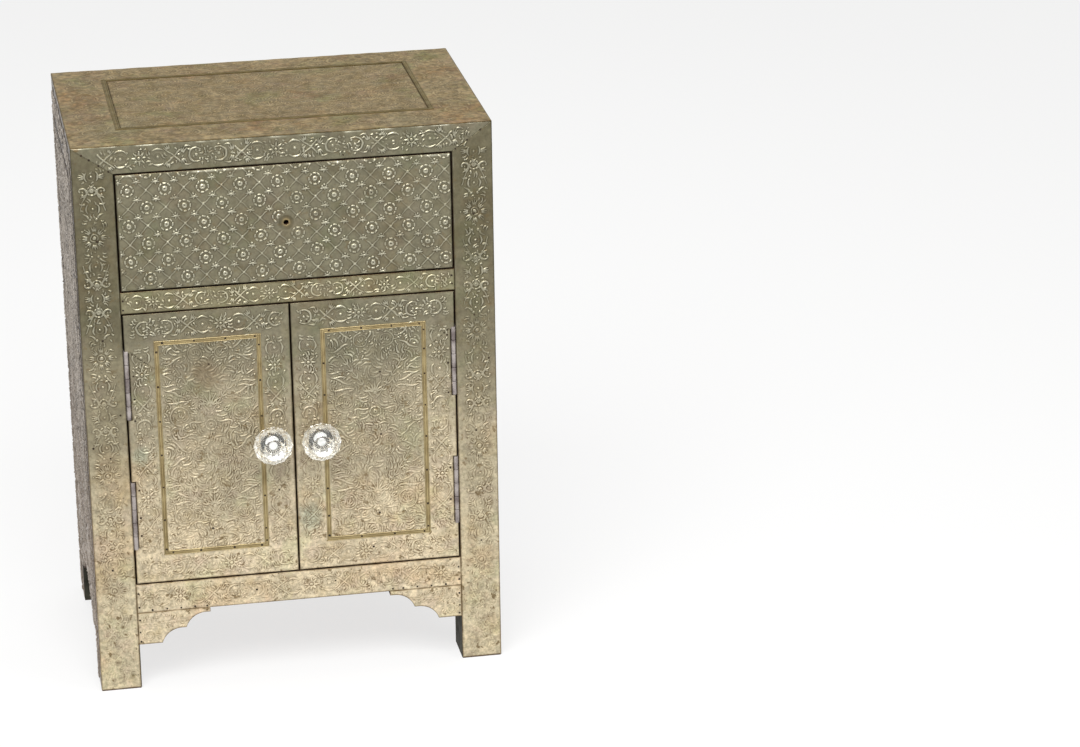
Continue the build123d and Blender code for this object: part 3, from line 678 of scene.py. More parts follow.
def top_canvas():
    """The top's relief: a band along each edge, and three fields side by side."""
    canvas = Canvas(complex(-x_side, y_front), complex(x_side, y_back))
    x0, x1, y0, y1 = top_field
    for y, gap in ((y_front, y0), (y_back, y1)):
        band(Place(canvas, complex(-x_side + 30, (y + gap) / 2)), 2 * x_side - 60, 185.0, 1.6, 41)
    for x, gap in ((-x_side, x0), (x_side, x1)):
        upright = Place(canvas, complex((x + gap) / 2, y_front + 34), np.pi / 2)
        band(upright, y_back - y_front - 68, 108.0, 1.6, 43)
    across = x1 - x0
    for k in range(3):
        cell = Place(canvas, complex(x0 + across * (k + 0.5) / 3, y0))
        arabesque(cell, across / 6, y1 - y0, 35.0, 45 + k)
    canvas.hollow = canvas.hollows()
    return canvas


# ---- Meshes -------------------------------------------------------------------------------


def dents(points, seed, scale=1.0):
    """Slow waves of hand-fitted sheet, within about one unit."""
    rng = np.random.default_rng(seed)
    total = np.zeros(points.shape)
    for _ in range(9):
        length = rng.uniform(14, 60) * scale
        way = np.exp(1j * rng.uniform(0, 2 * np.pi))
        phase = rng.uniform(0, 2 * np.pi)
        total += np.sin(2 * np.pi * (points * np.conj(way)).real / length + phase) / 9
    return total


def wobble(points):
    """The same points, each moved a little by slow waves, as a hand would draw them."""
    return points + 0.9 * dents(points, 17, 0.45) + 0.9j * dents(points, 18, 0.45)


def new_object(name, data):
    """An object in the scene."""
    made = bpy.data.objects.new(name, data)
    bpy.context.scene.collection.objects.link(made)
    return made


def new_mesh(name, vertices, faces, smooth=True):
    """An object from lists of vertices, in metres, and faces."""
    mesh = bpy.data.meshes.new(name)
    mesh.from_pydata(vertices, [], faces)
    mesh.validate()
    if smooth:
        mesh.polygons.foreach_set("use_smooth", [True] * len(mesh.polygons))
    return new_object(name, mesh)


def add_values(mesh, label, values):
    """A number for each vertex, which the materials read."""
    mesh.attributes.new(label, "FLOAT", "POINT").data.foreach_set("value", values)


def spread(length, spacing, steps=()):
    """Samples from 0 to 1 about a spacing apart, with a pair of samples at each step."""
    count = max(2, int(round(length / spacing)) + 1)
    values = list(np.linspace(0, 1, count))
    for step in steps:
        values += [step - 1e-4, step + 1e-4]
    return np.array(sorted(values))


class Sheet:
    """One sheet of metal: a grid mapped on a face, raised by the canvas and closed behind.

    seams and worn say how far the sheet dips at its ends and how much it is rubbed there and painted
    with a highlight along its fold: at u = 0 and 1, then at v = 0 and 1.
    """

    def __init__(self, place, us, vs, canvas, peak, seed, hole=None, seams=(1, 1, 1, 1), worn=(0, 0, 0, 0)):
        self.place = place
        u, v = np.meshgrid(us, vs, indexing="ij")
        points = place(u, v)
        self.cells = np.ones((len(us) - 1, len(vs) - 1), bool)
        self.patch = None
        if hole:
            points = self._open(points, us, vs, *hole)
        self.points = points
        fade = np.ones(points.shape)
        seam = np.zeros(points.shape)
        wear_and_highlight = np.zeros(points.shape)
        ends = (place(0 * u, v), place(0 * u + 1, v), place(u, 0 * v), place(u, 0 * v + 1))
        for end, depth, edge_wear_and_sheen in zip(ends, seams, worn):
            edge = abs(points - end)
            fade = np.minimum(fade, 1 - depth * np.clip(1 - (edge - 0.5) / 1.4, 0, 1))
            seam = np.maximum(seam, depth * np.exp(-((edge / 1.0) ** 2)))
            # Painted highlight along the worn edges, a bright line where the fold catches light, over real
            # rubbing; the height below also raises it a little.
            uneven = np.clip(0.5 + 1.6 * dents(points, seed + 9, 0.7), 0, 1)
            wear_and_highlight = np.maximum(wear_and_highlight, edge_wear_and_sheen * uneven * np.exp(-(((edge - 1.5) / 1.0) ** 2)))
        if hole:  # a dirty ring, as a knob's base leaves it
            ring = np.clip(2.0 - abs(abs(points - hole[0]) - 6.2) / 1.2, 0, 1)
            seam = np.maximum(seam, 0.55 * ring)
        drawn = wobble(points)
        relief = canvas.at(drawn) * fade
        self.ridge = np.maximum(relief, wear_and_highlight)
        # Dirt and painted shade: the hollows at the feet of the relief darken, and the seams take dirt.
        self.dirt_and_shade = np.clip(4.2 * canvas.at(drawn, canvas.hollow) * fade + seam, 0, 1)
        self.height = peak * relief + 0.3 * wear_and_highlight + 0.14 * dents(points, seed) * (1 - seam) - 0.45 * seam

    def _open(self, points, us, vs, centre, radius):
        """Bends the grid round a hole and leaves its cells out."""
        i, j = np.unravel_index(np.argmin(abs(points - centre)), points.shape)
        reach, kept = 8, 3
        for a in range(-reach, reach + 1):
            for b in range(-reach, reach + 1):
                ring = max(abs(a), abs(b))
                if ring == 0 or ring == reach:
                    continue
                edge_u = np.interp(i + a * reach / ring, np.arange(len(us)), us)
                edge_v = np.interp(j + b * reach / ring, np.arange(len(vs)), vs)
                outer = self.place(np.array(edge_u), np.array(edge_v))
                way = (outer - centre) / abs(outer - centre)
                t = max(0.0, (ring - kept) / (reach - kept))
                points[i + a, j + b] = (centre + radius * way) * (1 - t) + outer * t
        self.cells[i - kept : i + kept, j - kept : j + kept] = False
        self.patch = (i - reach, i + reach, j - reach, j + reach)
        return points

    def build(self, name, lift):
        """The closed mesh: raised face, rim and plain back."""
        nu, nv = self.points.shape
        ids = np.arange(nu * nv).reshape(nu, nv)
        grid = self.points
        loop = np.concatenate([grid[:, 0], grid[-1, 1:], grid[::-1, -1][1:], grid[0, ::-1][1:]])
        area = (np.conj(loop[:-1]) * loop[1:]).imag.sum() / 2
        flip = (area < 0) != lift.flipped
        need = np.zeros((nu, nv), bool)
        need[0, :] = need[-1, :] = need[:, 0] = need[:, -1] = True
        if self.patch:
            i0, i1, j0, j1 = self.patch
            need[i0 : i1 + 1, j0 : j1 + 1] = True
        back = np.full((nu, nv), -1)
        back[need] = nu * nv + np.arange(need.sum())
        quads = np.stack([ids[:-1, :-1], ids[1:, :-1], ids[1:, 1:], ids[:-1, 1:]], -1)[self.cells]
        behind = []
        for i in range(nu - 1):
            behind += self._back_cells(i, back, nv)
        if flip:
            quads = quads[:, ::-1]
        else:
            behind = [f[::-1] for f in behind]
        starts = quads.ravel()
        ends = np.roll(quads, -1, 1).ravel()
        size = nu * nv
        open_edge = ~np.isin(starts * size + ends, ends * size + starts)
        a, b = starts[open_edge], ends[open_edge]
        flat_back = back.ravel()
        rim = np.stack([b, a, flat_back[a], flat_back[b]], -1)
        front = lift(self.points.ravel(), self.height.ravel())
        rear = lift(self.points[need], np.full(int(need.sum()), -sheet))
        vertices = np.concatenate([front, rear]) * MM
        loops = np.concatenate([quads.ravel(), rim.ravel(), *behind])
        totals = np.array([4] * (len(quads) + len(rim)) + [len(f) for f in behind])
        mesh = bpy.data.meshes.new(name)
        mesh.vertices.add(len(vertices))
        mesh.vertices.foreach_set("co", vertices.ravel())
        mesh.loops.add(len(loops))
        mesh.loops.foreach_set("vertex_index", loops.astype(np.int32))
        mesh.polygons.add(len(totals))
        begins = np.concatenate([[0], np.cumsum(totals)[:-1]])
        mesh.polygons.foreach_set("loop_start", begins.astype(np.int32))
        mesh.polygons.foreach_set("loop_total", totals.astype(np.int32))
        smooth = np.zeros(len(totals), bool)
        smooth[: len(quads)] = True
        mesh.polygons.foreach_set("use_smooth", smooth)
        mesh.update(calc_edges=True)
        # The value 3 on the edges and back paints them near black, as painted shade in the gaps between
        # sheets.
        for label, values, behind_value in (("ridge", self.ridge, 0.0), ("dirt_and_shade", self.dirt_and_shade, 3.0)):
            add_values(mesh, label, np.concatenate([values.ravel(), np.full(len(rear), behind_value)]))
        return new_object(name, mesh)

    def _back_cells(self, i, back, nv):
        """Flat faces behind one column of the grid, in the front's order."""
        left = [j for j in range(nv) if back[i, j] >= 0]
        right = [j for j in range(nv) if back[i + 1, j] >= 0]
        if not self.patch or not self.patch[0] <= i < self.patch[1]:
            return [[back[i, 0], *back[i + 1, right], *back[i, left[:0:-1]]]]
        j0, j1 = self.patch[2:]
        faces = [[back[i, 0], back[i + 1, 0], back[i + 1, j0], back[i, j0]]]
        for j in range(j0, j1):
            if self.cells[i, j]:
                faces.append([back[i, j], back[i + 1, j], back[i + 1, j + 1], back[i, j + 1]])
        last = nv - 1
        faces.append([back[i, j1], back[i + 1, j1], back[i + 1, last], back[i, last]])
        return faces


def quad(a, b, c, d):
    """Maps the unit square on four corners, given round the outline."""
    return lambda u, v: (1 - v) * ((1 - u) * a + u * b) + v * ((1 - u) * d + u * c)


def corners(x0, x1, z0, z1):
    """The corners of a rectangle, given round its outline."""
    return complex(x0, z0), complex(x1, z0), complex(x1, z1), complex(x0, z1)


def rectangle(x0, x1, z0, z1):
    """Maps the unit square on a rectangle."""
    return quad(*corners(x0, x1, z0, z1))


class Lift:
    """Puts points of a face in space, raised by a height."""

    def __init__(self, name, level):
        self.name, self.level = name, level
        self.flipped = name == "left"

    def __call__(self, points, height):
        a, b = points.real, points.imag
        if self.name == "front":
            return np.stack([a, self.level - height, b], -1)
        if self.name == "top":
            return np.stack([a, b, self.level + height], -1)
        sign = -1 if self.flipped else 1
        return np.stack([sign * (self.level + height), a, b], -1)


def join(name, pieces):
    """Joins objects into one, keeping their attributes."""
    chosen = {"active_object": pieces[0], "selected_editable_objects": pieces, "selected_objects": pieces}
    with bpy.context.temp_override(**chosen):
        bpy.ops.object.join()
    pieces[0].name = name
    pieces[0].data.name = name
    return pieces[0]


def add_sheet(name, lift, canvas, place, lengths, peak, seed, **options):
    """A sheet with samples about one grid step apart along both of its lengths."""
    spacing = GRID if lift.name == "front" else COARSE_GRID
    spacing = max(spacing, math.sqrt(lengths[0] * lengths[1] / MOST_CELLS))
    us = spread(lengths[0], spacing, options.pop("steps_u", ()))
    vs = spread(lengths[1], spacing, options.pop("steps_v", ()))
    return Sheet(place, us, vs, canvas, peak, seed, **options).build(name, lift)


def bracket_edge(distance, length):
    """Height of the stepped lower edge at a distance from the leg, for a bracket of a length."""
    rise = (z_rail - z_bracket - bracket_lip) / cove_count
    step = (length - bracket_level) / cove_count
    wide = step - cove_run
    radius = (wide**2 + rise**2) / (2 * rise)
    height = np.zeros_like(distance)
    for k in range(cove_count):
        start = bracket_level + k * step
        t = np.clip(distance - start, 0, wide)
        cove = (k + 1) * rise - radius + np.sqrt(np.maximum(radius**2 - (wide - t) ** 2, 0))
        height = np.where(distance > start, np.maximum(cove, k * rise), height)
    return height


def bracket_place(side):
    """The stepped sheet under the bottom rail, beside the leg of one side."""
    def place(u, v):
        run = u * bracket_length
        low = z_bracket + bracket_edge(run, bracket_length)
        return side * (x_leg - run) + 1j * (low + v * (z_rail - low))

    return place


side_span = y_leg_back - y_leg_front
apron_bracket = (side_span - arch_crown) / 2  # length of either bracket of an apron


def apron_place(u, v):
    """The arched sheet under the middle sheet of a side."""
    y = u * side_span
    near = np.minimum(y, side_span - y)
    low = np.where(near <= apron_bracket, z_bracket + bracket_edge(near, apron_bracket), z_rail)
    return (y_leg_front + y) + 1j * (low + v * (side_foot - low))


# ---- Materials ----------------------------------------------------------------------------


class Nodes:
    """Short helpers to write a node tree."""

    def __init__(self, name):
        self.material = bpy.data.materials.new(name)
        self.material.use_nodes = True
        self.tree = self.material.node_tree
        self.shader = self.tree.nodes["Principled BSDF"]

    def node(self, kind, **settings):
        made = self.tree.nodes.new(kind)
        for key, value in settings.items():
            setattr(made, key, value)
        return made

    def put(self, socket, value):
        if isinstance(value, bpy.types.NodeSocket):
            self.tree.links.new(value, socket)
        elif socket.type == "RGBA" and len(value) == 3:
            socket.default_value = (*value, 1.0)
        else:
            socket.default_value = value

    def set(self, name, value):
        self.put(self.shader.inputs[name], value)

    def where(self):
        return self.node("ShaderNodeTexCoord").outputs["Object"]

    def attribute(self, name):
        return self.node("ShaderNodeAttribute", attribute_name=name).outputs["Fac"]

    def fill(self, made, **values):
        """Sets a node's inputs, named without their spaces, and returns its first output."""
        for key, value in values.items():
            self.put(made.inputs[key.replace("_", " ")], value)
        return made.outputs[0]

    def noise(self, scale, detail=3.0, rough=0.55, stretch=(1.0, 1.0, 1.0), offset=0.0):
        mapping = self.node("ShaderNodeMapping")
        placed = self.fill(mapping, Location=(offset, offset, offset), Scale=stretch, Vector=self.where())
        made = self.node("ShaderNodeTexNoise")
        return self.fill(made, Vector=placed, Scale=scale, Detail=detail, Roughness=rough)

    def range(self, value, low, high, out_low=0.0, out_high=1.0):
        made = self.node("ShaderNodeMapRange", interpolation_type="SMOOTHSTEP")
        return self.fill(made, Value=value, From_Min=low, From_Max=high, To_Min=out_low, To_Max=out_high)

    def math(self, kind, a, b):
        made = self.node("ShaderNodeMath", operation=kind)
        self.put(made.inputs[0], a)
        self.put(made.inputs[1], b)
        return made.outputs[0]

    def add(self, a, b):
        return self.math("ADD", a, b)

    def times(self, a, b):
        return self.math("MULTIPLY", a, b)

    def less(self, a, b):
        return self.math("SUBTRACT", a, b)

    def mix(self, share, a, b, blend="MIX"):
        made = self.node("ShaderNodeMix", data_type="RGBA", blend_type=blend)
        for index, value in ((0, share), (6, a), (7, b)):  # the inputs for colours
            self.put(made.inputs[index], value)
        return made.outputs[2]

    def blob(self, centre, radius, strength):
        """A soft ragged patch round a point given in millimetres."""
        away = self.node("ShaderNodeVectorMath", operation="DISTANCE")
        self.put(away.inputs[0], self.where())
        self.put(away.inputs[1], tuple(c * MM for c in centre))
        ragged = self.times(self.noise(35, 4, 0.65, offset=radius), 1.3 * radius * MM)
        distance = self.add(away.outputs["Value"], ragged)
        return self.times(self.range(distance, 1.5 * radius * MM, 0.7 * radius * MM), strength)

    def height(self):
        """The object's own height, in metres."""
        made = self.node("ShaderNodeSeparateXYZ")
        self.put(made.inputs[0], self.where())
        return made.outputs["Z"]

    def bump(self, height, strength, distance):
        made = self.node("ShaderNodeBump")
        self.set("Normal", self.fill(made, Strength=strength, Distance=distance, Height=height))


def colour(r, g, b):
    """A shader colour from the usual 0 to 255 values."""
    def linear(c):
        c /= 255
        return c / 12.92 if c <= 0.04045 else ((c + 0.055) / 1.055) ** 2.4

    return (linear(r), linear(g), linear(b))


PATCH_TINTS = (  # scale and offset of each kind of patch in the tarnish, and its tint
    (16, 3.1, colour(240, 214, 190)),
    (21, 7.7, colour(226, 248, 222)),
    (34, 5.5, colour(246, 236, 250)),
    (48, 9.2, colour(222, 214, 186)),
    (75, 11.4, colour(236, 224, 226)),
)
GAP_SHADE_AND_DIRT, SPECK_BROWN, PIT_BROWN = colour(24, 19, 13), colour(92, 74, 46), colour(112, 92, 58)


def embossed(
    name, flats, ridges, dirt_and_shade_tones, stains=(), metallic=0.86, rough=0.36, dull=0.24, tinge=0.3,
    mottled=0.15, patchy=0.05, paint=0.5, edge=(1.0, 1.0, 1.0), patina=0.0,
):
    """Old white metal: tarnished flats, rubbed ridges with painted highlights, dirt and painted shade at
    their feet, and dirt in the seams.

    Each pair of colours is for the foot of the cabinet and its head, lighter at the foot as a painted
    reflection of the floor. paint is how far the ridges take their own colour, a painted highlight over
    real rubbing, and patina how far the flats lose their metallic shine.
    """
    n = Nodes(name)
    drift = n.times(n.less(n.noise(9, 2), 0.5), 0.22)
    level = n.range(n.add(n.height(), drift), 0.1, 0.46)
    # Painted reflection: every colour is lighter towards the foot, as the floor in front lights the lower
    # metal.
    flat, ridge, dirt_and_shade = (n.mix(level, *pair) for pair in (flats, ridges, dirt_and_shade_tones))
    for scale, offset, tint in PATCH_TINTS:
        patch = n.range(n.noise(scale, 4, 0.62, offset=offset), 0.52, 0.68, 0.0, tinge)
        flat = n.mix(patch, flat, tint, "MULTIPLY")
    for centre, radius, tint, strength in stains:
        blob = n.blob(centre, radius, strength)
        flat = n.mix(blob, flat, tint)
        ridge = n.mix(n.times(blob, 0.6), ridge, tint)

    mottle = n.range(n.noise(150, 4, 0.65), 0.3, 0.75, 1 - mottled, 1 + mottled)
    patches = n.range(n.noise(30, 5, 0.72, offset=6.1), 0.36, 0.66, 1 - patchy, 1 + patchy)
    grain = n.range(n.noise(380, 3, 0.6, offset=4.4), 0.3, 0.7, -0.19, 0.19)
    mottle = n.add(n.times(mottle, patches), n.times(grain, n.less(1.0, n.times(level, 0.7))))
    grey = n.node("ShaderNodeCombineColor")
    for channel in grey.inputs:
        n.put(channel, mottle)
    flat = n.mix(1.0, flat, grey.outputs[0], "MULTIPLY")

    dirt_and_shade_amount = n.attribute("dirt_and_shade")  # up to 1 in the hollows, as dirt and painted shade, and at the seams, and 3 behind the sheet
    # Dirt and painted shade: the hollows at the feet of the relief darken, standing in for the shade there.
    dirt_and_shade_paint = n.times(n.math("MINIMUM", dirt_and_shade_amount, 1.0), n.range(n.noise(60, 3), 0.25, 0.6, 0.5, 1.0))
    base = n.mix(dirt_and_shade_paint, flat, dirt_and_shade)
    # Painted shade with seam dirt: the sheets' edges and backs turn near black for the gaps between sheets.
    base = n.mix(n.range(dirt_and_shade_amount, 1.4, 2.6, 0.0, 0.93), base, GAP_SHADE_AND_DIRT)
    # Painted highlight over real rubbing: the ridges take a pale colour, weaker towards the foot.
    wear_and_highlight = n.range(n.attribute("ridge"), 0.15, 0.75)
    wear_and_highlight = n.times(wear_and_highlight, n.range(n.noise(40, 2, offset=1.7), 0.25, 0.6, 0.36 * paint, paint))
    wear_and_highlight = n.times(wear_and_highlight, n.add(0.4, n.times(level, 0.6)))
    base = n.mix(wear_and_highlight, base, ridge)

    lower = n.less(0.8, n.times(level, 0.5))
    specks = n.range(n.noise(420, 2, 0.5, offset=5.0), 0.665, 0.74)
    pits = n.range(n.noise(150, 3, 0.6, offset=8.3), 0.61, 0.69)
    for spots, tint in ((specks, SPECK_BROWN), (pits, PIT_BROWN)):
        base = n.mix(n.times(spots, lower), base, tint)

    n.set("Base Color", base)
    n.set("Metallic", n.times(n.add(1 - patina, n.times(wear_and_highlight, patina)), metallic))
    n.set("Specular IOR Level", 0.5 - 0.5 * patina)
    n.set("Specular Tint", edge)
    worn = n.range(n.noise(55, 3, offset=2.2), 0.3, 0.7, rough + 0.08, rough - 0.06)
    worn = n.add(worn, n.less(dull, n.times(level, dull)))
    n.set("Roughness", n.less(worn, n.times(wear_and_highlight, 0.06)))
    n.bump(n.noise(900, 3, 0.6), 0.25, 0.0003)
    return n.material


def plain_metal(name, tone, shade, metallic=0.7, rough=0.4, scale=60, painted_glow=0.0):
    """Worn strip, hinge or nail metal: stains over a base tone, and a painted glow where one is given."""
    n = Nodes(name)
    base = n.mix(n.range(n.noise(scale, 4, 0.6), 0.35, 0.68), tone, shade)
    specks = n.range(n.noise(scale * 9, 2), 0.66, 0.74)
    base = n.mix(n.times(specks, 0.5), base, tuple(c * 0.35 for c in shade))
    n.set("Base Color", base)
    n.set("Metallic", metallic)
    n.set("Emission Color", base)
    n.set("Emission Strength", painted_glow)
    n.set("Roughness", n.range(n.noise(scale * 2, 3, offset=4.0), 0.3, 0.7, rough - 0.08, rough + 0.14))
    n.bump(n.noise(scale * 14, 3), 0.2, 0.0002)
    return n.material


def strip_metal(name, tone, shade, dirt_and_shade_paint, shine, edge=(1.0, 1.0, 1.0)):
    """Dull brass strip with dirt and painted shade along its folded edges, and a painted shine on its raised
    edges.
    """
    n = Nodes(name)
    base = n.mix(n.range(n.noise(40, 4, 0.6), 0.35, 0.68), tone, shade)
    # Dirt and painted shade along the strip's edges and groove, and a painted highlight on its raised edges.
    dirt_and_shade_amount = n.times(n.attribute("dirt_and_shade"), n.range(n.noise(90, 3), 0.3, 0.6, 0.5, 1.0))
    base = n.mix(dirt_and_shade_amount, base, dirt_and_shade_paint)
    base = n.mix(n.times(n.attribute("ridge"), 0.4), base, shine)
    n.set("Base Color", base)
    n.set("Metallic", 0.75)
    n.set("Specular Tint", edge)
    n.set("Roughness", n.range(n.noise(80, 3, offset=4.0), 0.3, 0.7, 0.34, 0.5))
    n.bump(n.noise(700, 3), 0.2, 0.0002)
    return n.material


def wood(name, tone, shade, along=(1.0, 1.0, 14.0), rough=0.55):
    """Boards with streaked grain."""
    n = Nodes(name)
    stretch = tuple(14.0 / a for a in along)
    grain = n.noise(9, 6, 0.65, stretch=stretch)
    pores = n.noise(60, 4, 0.7, stretch=stretch, offset=2.0)
    base = n.mix(n.range(grain, 0.32, 0.68), tone, shade)
    base = n.mix(n.times(n.range(pores, 0.55, 0.75), 0.5), base, tuple(c * 0.45 for c in shade))
    n.set("Base Color", base)
    n.set("Roughness", n.range(grain, 0.3, 0.7, rough, rough + 0.15))
    n.bump(pores, 0.3, 0.0004)
    return n.material


def glass(name, clear):
    """Clear cut glass with faint clouds."""
    n = Nodes(name)
    cloud = n.range(n.noise(120, 2), 0.3, 0.7)
    n.set("Base Color", n.mix(cloud, (0.97, 0.985, 0.98), (1.0, 1.0, 1.0)))
    n.set("Roughness", n.range(n.noise(260, 2, offset=2.0), 0.3, 0.7, 0.0, 0.03))
    n.set("IOR", 1.45)
    n.set("Transmission Weight", clear)
    return n.material


front_stains = (
    ((-209, y_front, 599), 6, colour(132, 102, 56), 0.7),
    ((-88, y_front, 348), 30, colour(126, 106, 80), 0.5),
    ((-95, y_front, 385), 52, colour(122, 112, 88), 0.35),
    ((-40, y_front, 300), 15, colour(142, 118, 82), 0.5),
    ((28, y_front, 302), 13, colour(146, 122, 86), 0.4),
    ((-160, y_front, 262), 20, colour(150, 160, 140), 0.55),
    ((0, y_front, drawer_centre), 9, colour(150, 128, 84), 0.7),
    ((14, y_front, 180), 22, colour(160, 168, 150), 0.6),
)
leg_stains = (
    ((211, y_front, 405), 13, colour(138, 118, 84), 0.25),
    ((-189, y_front, 72), 4, colour(104, 86, 56), 0.8),
    ((-196, y_front, 32), 7, colour(108, 90, 60), 0.55),
    ((-181, y_front, 15), 5, colour(106, 92, 58), 0.8),
    ((190, y_front, 20), 8, colour(122, 104, 74), 0.5),
    ((-205, y_front, 160), 24, colour(190, 170, 148), 0.5),
)
# Painted shade: a darker copy of the front's metal, with its head's flats darker for how the legs reflect.
leg_metal_painted_shade = embossed(
    "leg_metal_painted_shade",
    (colour(204, 192, 163), colour(113, 107, 85)),
    (colour(224, 210, 180), colour(204, 201, 180)),
    (colour(104, 84, 54), colour(60, 55, 40)),
    stains=leg_stains, patchy=0.07, paint=0.46,
)
front_metal = embossed(
    "embossed_metal",
    (colour(215, 201, 172), colour(127, 122, 101)),
    (colour(224, 210, 180), colour(214, 211, 190)),
    (colour(112, 92, 60), colour(64, 59, 43)),
    stains=front_stains,
)
# Painted highlights: a lighter copy of the front's metal, with paler flats and more pale ridge paint.
middle_rail_metal_painted_highlights = embossed(
    "middle_rail_metal_painted_highlights",
    (colour(200, 186, 154), colour(138, 132, 105)),
    (colour(226, 214, 180), colour(226, 220, 190)),
    (colour(104, 86, 54), colour(70, 62, 40)),
    tinge=0.45, paint=0.72,
)
# Painted light and shade on the sides: darker tarnish on the flats with painted shade, near-white painted
# highlights on the ridges.
side_metal = embossed(
    "side_metal",
    (colour(128, 114, 102), colour(78, 69, 61)),
    (colour(226, 214, 200), colour(208, 198, 186)),
    (colour(62, 52, 44), colour(36, 31, 26)),
    rough=0.34, dull=0.0, patchy=0.2, paint=0.82, edge=(0.9, 0.87, 0.84), patina=0.5,
)
top_metal = embossed(
    "top_metal",
    (colour(128, 111, 80), colour(128, 111, 80)),
    (colour(150, 132, 98), colour(150, 132, 98)),
    (colour(74, 61, 38), colour(74, 61, 38)),
    stains=(
        ((-165, -60, z_top), 60, colour(115, 109, 83), 0.55),
        ((130, -95, z_top), 45, colour(117, 110, 85), 0.45),
        ((20, 70, z_top), 60, colour(134, 114, 86), 0.4),
    ),
    metallic=0.84, rough=0.48, tinge=0.8, mottled=0.42, patchy=0.18, edge=(0.73, 0.72, 0.64),
)
brass = strip_metal(
    "brass_strip", colour(172, 154, 110), colour(136, 118, 78), colour(92, 76, 44), colour(196, 182, 146)
)
top_brass = strip_metal(
    "top_strip_metal", colour(98, 84, 50), colour(80, 68, 40), colour(48, 38, 20), colour(116, 100, 64),
    (0.62, 0.59, 0.48),
)
knob_brass = plain_metal("knob_brass", colour(186, 164, 110), colour(120, 98, 58), 0.85, 0.3)
steel = plain_metal("hinge_steel", colour(176, 168, 164), colour(118, 108, 106), 0.8, 0.34)
# Painted shade: the same white metal made dark and dull, standing in for the shadow it lies in.
sleeve_metal_painted_shade = plain_metal("sleeve_metal_painted_shade", colour(60, 58, 46), colour(38, 37, 29), 0.2, 0.8)
nail_metal = plain_metal("nail_metal", colour(58, 44, 26), colour(32, 24, 15), 0.1, 0.85, 200)
rib_metal = plain_metal("rib_metal", colour(104, 104, 98), colour(58, 58, 54), 0.6, 0.3, 200)
magnet_metal = plain_metal("magnet", colour(90, 90, 92), colour(60, 60, 62), 0.9, 0.3)
dark_wood = wood("dark_wood", colour(84, 56, 36), colour(46, 30, 19))
dark_wood_level = wood("dark_wood_level", colour(84, 56, 36), colour(46, 30, 19), (14.0, 1.0, 1.0))
bare_wood = wood("bare_wood", colour(178, 138, 92), colour(140, 100, 62), (1.0, 14.0, 1.0))
bare_wood_level = wood("bare_wood_level", colour(178, 138, 92), colour(140, 100, 62), (14.0, 1.0, 1.0))
plywood = wood("plywood", colour(172, 136, 96), colour(134, 100, 66), (14.0, 1.0, 1.0), 0.6)
cut_glass = glass("cut_glass", 0.97)
# The silvering has a painted glow: it gives off light of its own, standing in for the lamp light that the
# glass keeps from it.
glowing_silver = plain_metal("silvered_back", colour(255, 253, 247), colour(240, 236, 226), 0.75, 0.16, 46, painted_glow=0.2)
enamel = plain_metal("pale_disc", colour(240, 240, 236), colour(214, 214, 208), 0.1, 0.3)


def finish_node(name, material):
    """Gives a CAD node that stays visible its material."""
    node = frame["nodes"][name]
    node.data.materials.clear()
    node.data.materials.append(material)


slot_materials = {
    "wood": dark_wood,
    "plywood": plywood,
    "embossed_metal": sleeve_metal_painted_shade,
    "side_metal": side_metal,
    "top_metal": top_metal,
    "trim_strip": brass,
    "steel": steel,
    "knob_glass": cut_glass,
    "knob_brass": knob_brass,
    "magnet": magnet_metal,
}
for row in frame["record"]["subparts"]:
    finish_node(row["node"], slot_materials[row["material_slot"]])
for name in frame["nodes"]:
    if "rail" in name and "sheet" not in name or name in ("top_board", "board_cleats", "door_stop"):
        finish_node(name, dark_wood_level)
    if "drawer_" in name and "sheet" not in name:
        finish_node(name, bare_wood)
for name in ("cupboard_floor", "drawer_divider", "drawer_back"):
    finish_node(name, bare_wood_level)
finish_node("drawer_front", dark_wood_level)
finish_node("drawer_bottom", plywood)


def dress(piece, material, body, slot, *nodes):
    """Material, body and the CAD nodes that a piece stands for; slot is not used."""
    piece.data.materials.clear()
    piece.data.materials.append(material)
    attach(piece, body)
    if nodes:
        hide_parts(*nodes)
    return piece


# ---- Sheets of the front --------------------------------------------------------------------

front = Lift("front", y_front)
pattern = front_canvas()
border = x_side - x_leg


def front_sheet(name, place, lengths, seed, pattern=pattern, **options):
    return add_sheet(name, front, pattern, place, lengths, FRONT_PEAK, seed, **options)


for side, label in SIDES:
    x0, x1 = side * x_side, side * x_leg
    place = quad(complex(x0, z_foot), complex(x1, z_foot), complex(x1, z_drawer_top), complex(x0, z_mitre))
    options = {"seams": (1, 1, 1, 0.6), "worn": (0.3, 0.4, 0, 0)}
    leg = front_sheet(f"{label}_leg_metal_painted_shade", place, (border, z_mitre), 50 + side, **options)
    dress(leg, leg_metal_painted_shade, "carcass", "embossed_metal", f"{label}_leg_sheet")
    lengths = (bracket_length, z_rail - z_bracket)
    bracket = front_sheet(f"{label}_bracket_metal", bracket_place(side), lengths, 52 + side)
    dress(bracket, front_metal, "carcass", "embossed_metal", f"{label}_bracket_sheet")

a, b = complex(-x_leg, z_drawer_top), complex(x_leg, z_drawer_top)
top_rail_place = quad(a, b, complex(x_side, z_mitre), complex(-x_side, z_mitre))
top_options = {"seams": (0.6, 0.6, 1, 1), "worn": (0, 0, 0.3, 0.8)}
for name, place, metal, options in (
    ("top_rail_metal", top_rail_place, front_metal, top_options),
    ("middle_rail_metal_painted_highlights", rectangle(-x_leg, x_leg, z_door_top, z_divider), middle_rail_metal_painted_highlights, {}),
    ("bottom_rail_metal", rectangle(-x_leg, x_leg, z_rail, z_floor), front_metal, {}),
):
    tall = abs(place(0.5, 1.0) - place(0.5, 0.0))
    rail = front_sheet(name, place, (2 * x_leg, tall), 55, **options)
    dress(rail, metal, "carcass", "embossed_metal", "rail_sheets")

